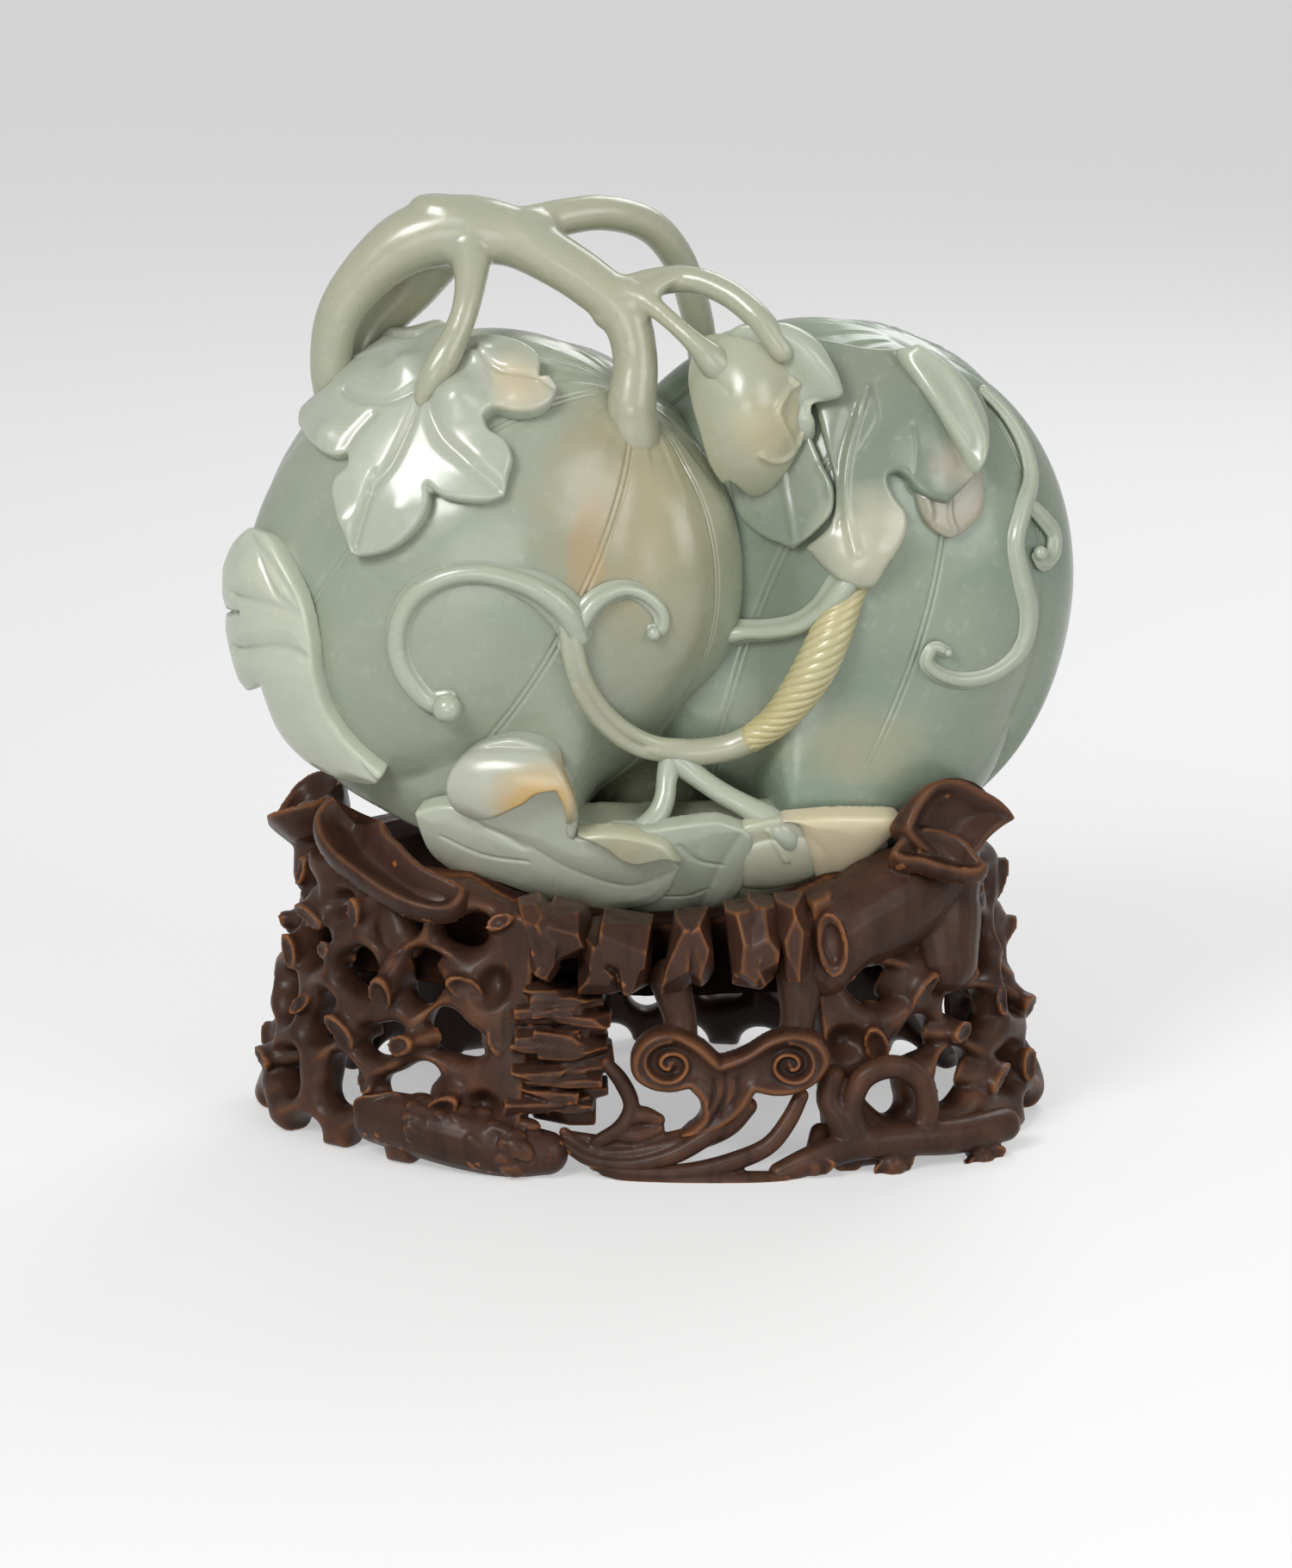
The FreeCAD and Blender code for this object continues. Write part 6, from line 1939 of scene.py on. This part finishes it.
    def _roots(self) -> None:
        """The roots along the right of the foot, with their cut ends."""
        runs = [
            [(905, 1362, -49.0, 2.4), (945, 1345, -47.6, 3.0), (990, 1330, -46.0, 3.2),
             (1050, 1322, -43.0, 3.6), (1110, 1318, -38.0, 3.8), (1165, 1305, -31.0, 3.6)],
            [(990, 1330, -46.0, 3.0), (975, 1300, -45.4, 2.8), (962, 1276, -44.8, 2.6),
             (966, 1250, -44.0, 2.6)],
            [(1000, 1322, -45.6, 2.8), (988, 1288, -45.2, 2.5), (1002, 1252, -44.6, 2.4),
             (1034, 1238, -43.6, 2.5), (1066, 1252, -42.0, 2.5), (1076, 1288, -41.0, 2.6),
             (1066, 1320, -41.6, 2.8)],
        ]
        forms = [tube(traced(rows)) for rows in runs]
        ends = [(945, 1352, -48.6, 4.4, 2.4, -0.2), (1036, 1352, -44.6, 4.2, 3.0, 0.25),
                (1140, 1345, -36.6, 5.0, 2.6, 0.5)]
        for x, y, depth, wide, tall, side in ends:
            place = traced_place(x, y, depth)
            inner = (place[0] - side * 7, place[1] + 7.0, place[2] + 4.5, tall * 0.9)
            forms.append(tube([(*place, tall), inner]))
            forms.append(Cap(place, (1, 0, 0.15), (side, -0.85, -0.12), (wide, tall), 2.0).mesh())
        self.settle("root_front_right", fused(joined(forms), 0.45, 3), BARK, "root_front_right")


@dataclass
class Stand(WoodMaker):
    """The whole wood stand."""

    def build(self) -> None:
        """Model every piece of the stand."""
        self._cradle()
        Openwork("openwork_left", 126, 251).build()
        Openwork("openwork_right", -62, 54).build()
        Openwork("openwork_back", 54, 126).build()
        self._left_fungi()
        self._right_growth()
        self._rocks()
        StandFront().build()

    def _cradle(self) -> None:
        """The seat, its flutes and its rim."""
        shape = bmesh.new()
        shape.from_mesh(bpy.data.objects["cradle"].data)
        bmesh.ops.remove_doubles(shape, verts=shape.verts[:], dist=1e-6)
        bmesh.ops.scale(shape, verts=shape.verts[:], vec=(1 / MM,) * 3)
        seat = fused(as_mesh(shape), 0.8, 4)
        places = coordinates(seat)
        front = np.clip(-places[:, 1] / 20, 0, 1)
        flutes = 0.8 * np.sin(places[:, 0] / 2.1 + 0.8 * np.sin(places[:, 2] / 6)) * front
        places[:, 1] += flutes * np.clip((places[:, 2] - 34) / 4, 0, 1)
        move_to(seat, places)
        self.settle("cradle", seat, SHADED_SEAT, "cradle")

    def _left_fungi(self) -> None:
        """The two caps at the left."""
        scoop = Leaf(
            "fungus_front_left",
            [(396, 915), (412, 908), (429, 913), (442, 926), (449, 946), (454, 963), (466, 974), (479, 988),
             (495, 1001), (522, 1014), (544, 1026), (540, 1042), (525, 1056), (505, 1059), (472, 1052),
             (439, 1036), (406, 1013), (379, 991), (363, 966), (361, 946), (369, 931), (382, 920)],
            sharp=(10,), thickness=6.4, hollow=5.4, hollow_reach=4.0, shell=2.8, sunk=3.0, rim=1.6, voxel=0.4)
        dish = scoop.mesh(Panel((-63.4, -11.9, 68.2), (-0.1, -0.64, 0.75)))
        stalk = tube(traced([(470, 1088, -27.0, 5.0), (460, 1056, -24.0, 5.0), (440, 1018, -18.0, 5.0)]))
        self.settle("fungus_front_left", fused(joined([dish, stalk]), 0.45, 2), BARK, "fungus_front_left")
        back = Cap((-70.8, 5.0, 63.4), (0.3, 1, 0), (-0.5, 0, 0.87), (10.6, 9.8), 6.4, (0.07, 0.03))
        foot = [(-69.0, 4.0, 50.0, 5.6), (-69.5, 4.5, 56.0, 5.0), (-70.5, 5.0, 60.5, 4.8)]
        footed = fused(joined([back.mesh(), tube(foot)]), 0.5, 4)
        self.settle("fungus_back_left", footed, BARK, "fungus_back_left")

    def _right_growth(self) -> None:
        """The trunk at the right with its two caps and its oval scar."""
        trunk = tube(traced([
            (956, 1120, -38.0, 6.5), (976, 1086, -35.0, 8.8), (1010, 1060, -29.0, 10.4),
            (1046, 1038, -24.0, 10.4), (1076, 1014, -19.0, 9.6), (1096, 990, -16.0, 7.8),
            (1106, 966, -14.0, 6.0)]))
        side = tube(traced([(1094, 1112, -24.0, 7.5), (1090, 1070, -21.0, 8.8), (1090, 1040, -19.0, 8.6),
                            (1098, 1014, -18.0, 7.6)]))
        scar = Cap(traced_place(967, 1096, -44.2), (0.12, 0, -1), (-0.25, -0.95, 0.1), (6.4, 3.3), 1.8,
                   (0.04, 0.0), 1.0)
        low = Leaf(
            "low", [(1034, 990), (1042, 972), (1058, 960), (1076, 956), (1102, 961), (1125, 973), (1138, 989),
                    (1151, 1003), (1142, 1012), (1122, 1015), (1095, 1010), (1069, 1002), (1050, 1000)],
            sharp=(7,), thickness=4.6, hollow=3.8, hollow_reach=2.4, shell=3.0, sunk=5.0, rim=1.4, voxel=0.4)
        top = Leaf(
            "top", [(1052, 966), (1056, 947), (1064, 930), (1076, 914), (1088, 905), (1102, 901), (1119, 903),
                    (1138, 913), (1162, 926), (1175, 938), (1184, 951), (1166, 962), (1150, 976), (1138, 992),
                    (1110, 1004), (1074, 992)],
            sharp=(10,), thickness=4.0, hollow=3.6, hollow_reach=3.0, sunk=3.0, rim=1.2, voxel=0.4)
        forms = [trunk, side, scar.mesh(), low.mesh(Panel((56.2, -25.4, 65.3), (0.12, -0.66, 0.74))),
                 top.mesh(Panel((57.0, -24.4, 75.0), (0.5, -0.85, 0.15)))]
        self.settle("right_growth", fused(joined(forms), 0.45, 2), BARK, "trunk_right", "fungus_right_low",
                    "fungus_right_top")

    def _rocks(self) -> None:
        """The chipped blocks of the ledge and the craggy column."""
        blocks = [
            [(609, 652, 1056, 1124, 14), (634, 684, 1064, 1120, -10), (614, 650, 1108, 1146, 4)],
            [(670, 712, 1086, 1134, 8), (694, 755, 1078, 1146, -8), (670, 724, 1120, 1158, 2),
             (716, 757, 1104, 1156, -4)],
            [(774, 806, 1078, 1160, -8), (798, 828, 1074, 1150, 5)],
            [(846, 884, 1064, 1148, 6), (862, 908, 1060, 1142, -7), (850, 900, 1110, 1152, 0)],
            [(902, 942, 1056, 1142, 3)],
        ]
        for number, chips in enumerate(blocks, 1):
            forms = []
            for left, right, top, bottom, turn in chips:
                x, y, z = traced_place((left + right) / 2, (top + bottom) / 2, -50.0)
                half = ((right - left) / 2 * VIEW.pixel * 0.96, 7.6, (bottom - top) / 2 * VIEW.pixel)
                forms.append(((x, y + 7.0, z), half, turn))
            Crag(f"ledge_rock_{number}", forms, cuts=8, seed=number + 3).build()
        random = np.random.default_rng(11)
        layers = []
        for number in range(22):
            row = number // 2
            side = number % 2 * 2 - 1
            x = 650 + side * random.uniform(6, 22) - row * 0.8
            y = 1152 + row * 12.4 + random.uniform(-3, 3)
            middle = traced_place(x, y, -42.0 + random.uniform(-2.5, 1.5))
            half = (random.uniform(6.0, 9.6), random.uniform(4.4, 6.0), random.uniform(1.0, 1.9))
            layers.append((middle, half, random.uniform(-8, 8)))
        core = (traced_place(652, 1222, -38.5), (7.0, 5.0, 14.0), 0.0)
        Crag("rock_column", [core, *layers], cuts=5, seed=9).build()


@dataclass(frozen=True)
class Lamp:
    """A soft square lamp that faces the carving: its place and size in metres, and its power in watts."""

    name: str
    place: Row
    size: float
    power: float
    aim: Row = (0, 0, 0.1)

    def build(self) -> None:
        """Hang the lamp."""
        data = bpy.data.lights.new(self.name, "AREA")
        data.size = self.size
        data.energy = self.power
        lamp = bpy.data.objects.new(self.name, data)
        bpy.context.collection.objects.link(lamp)
        lamp.location = self.place
        lamp.rotation_euler = (Vector(self.aim) - Vector(self.place)).to_track_quat("-Z", "Y").to_euler()


@dataclass
class Stage:
    """The plain floor and the soft lights, in metres."""

    lamps: Sequence[Lamp] = (
        Lamp("key", (-0.55, -0.85, 0.85), 0.42, 8.5), Lamp("fill", (0.75, -0.75, 0.55), 0.6, 3.2),
        Lamp("rim", (0.35, 0.75, 0.8), 0.5, 3.2), Lamp("low", (-0.1, -1.1, 0.12), 0.5, 2.2))
    sky_colour: Row = (0.83, 0.83, 0.84)
    sky_light: float = 0.38
    sky_shown_more: float = 0.32
    floor_half: float = 9.0
    floor_colour: Row = (0.52, 0.52, 0.515)
    floor_rough: float = 0.6
    floor_shown_more: float = 0.42

    def build(self) -> None:
        """Make the floor, the lamps and the world."""
        self._floor()
        for lamp in self.lamps:
            lamp.build()
        world = bpy.data.worlds.new("studio")
        bpy.context.scene.world = world
        world.use_nodes = True
        tree = world.node_tree
        back = tree.nodes["Background"]
        back.inputs["Color"].default_value = (*self.sky_colour, 1)
        shown = tree.nodes.new("ShaderNodeMath")
        shown.operation = "MULTIPLY_ADD"
        tree.links.new(seen_by_eye(tree), shown.inputs[0])
        shown.inputs[1].default_value = self.sky_shown_more
        shown.inputs[2].default_value = self.sky_light
        tree.links.new(shown.outputs[0], back.inputs["Strength"])
        bpy.context.scene.view_settings.view_transform = "Standard"

    def _floor(self) -> None:
        """A wide flat floor."""
        shape = bmesh.new()
        bmesh.ops.create_grid(shape, x_segments=1, y_segments=2, size=self.floor_half)
        mesh = as_mesh(shape)
        mesh.shade_smooth()
        graph = Graph("floor")
        shader = graph.shader.inputs
        shader["Base Color"].default_value = (*self.floor_colour, 1)
        shader["Emission Color"].default_value = (1, 1, 1, 1)
        shown = graph.math("MULTIPLY", seen_by_eye(graph.tree), self.floor_shown_more)
        graph.feed(shader["Emission Strength"], shown)
        shader["Roughness"].default_value = self.floor_rough
        mesh.materials.append(graph.material)
        floor = bpy.data.objects.new("floor", mesh)
        bpy.context.collection.objects.link(floor)


def main() -> None:
    """Build the scene."""
    logging.basicConfig(level=logging.INFO, format="%(name)s: %(message)s")
    VIEW.build()
    Stage().build()
    Melon("melon_left", LEFT_SKIN, (735, 450), [(372, 680), (668, 712), (838, 604)], LEFT_FACE).build()
    Melon("melon_right", RIGHT_SKIN, (1065, 390), [(880, 760), (1072, 738), (1215, 700)], RIGHT_FACE).build()
    LeftMelonFace(LEFT_SKIN).build()
    RightMelonFace(RIGHT_SKIN).build()
    Underside(UNDER_LOW).build()
    Bud(BUD_SKIN).build()
    Stems().build()
    Vine().build()
    Stand().build()


if __name__ == "__main__":
    main()
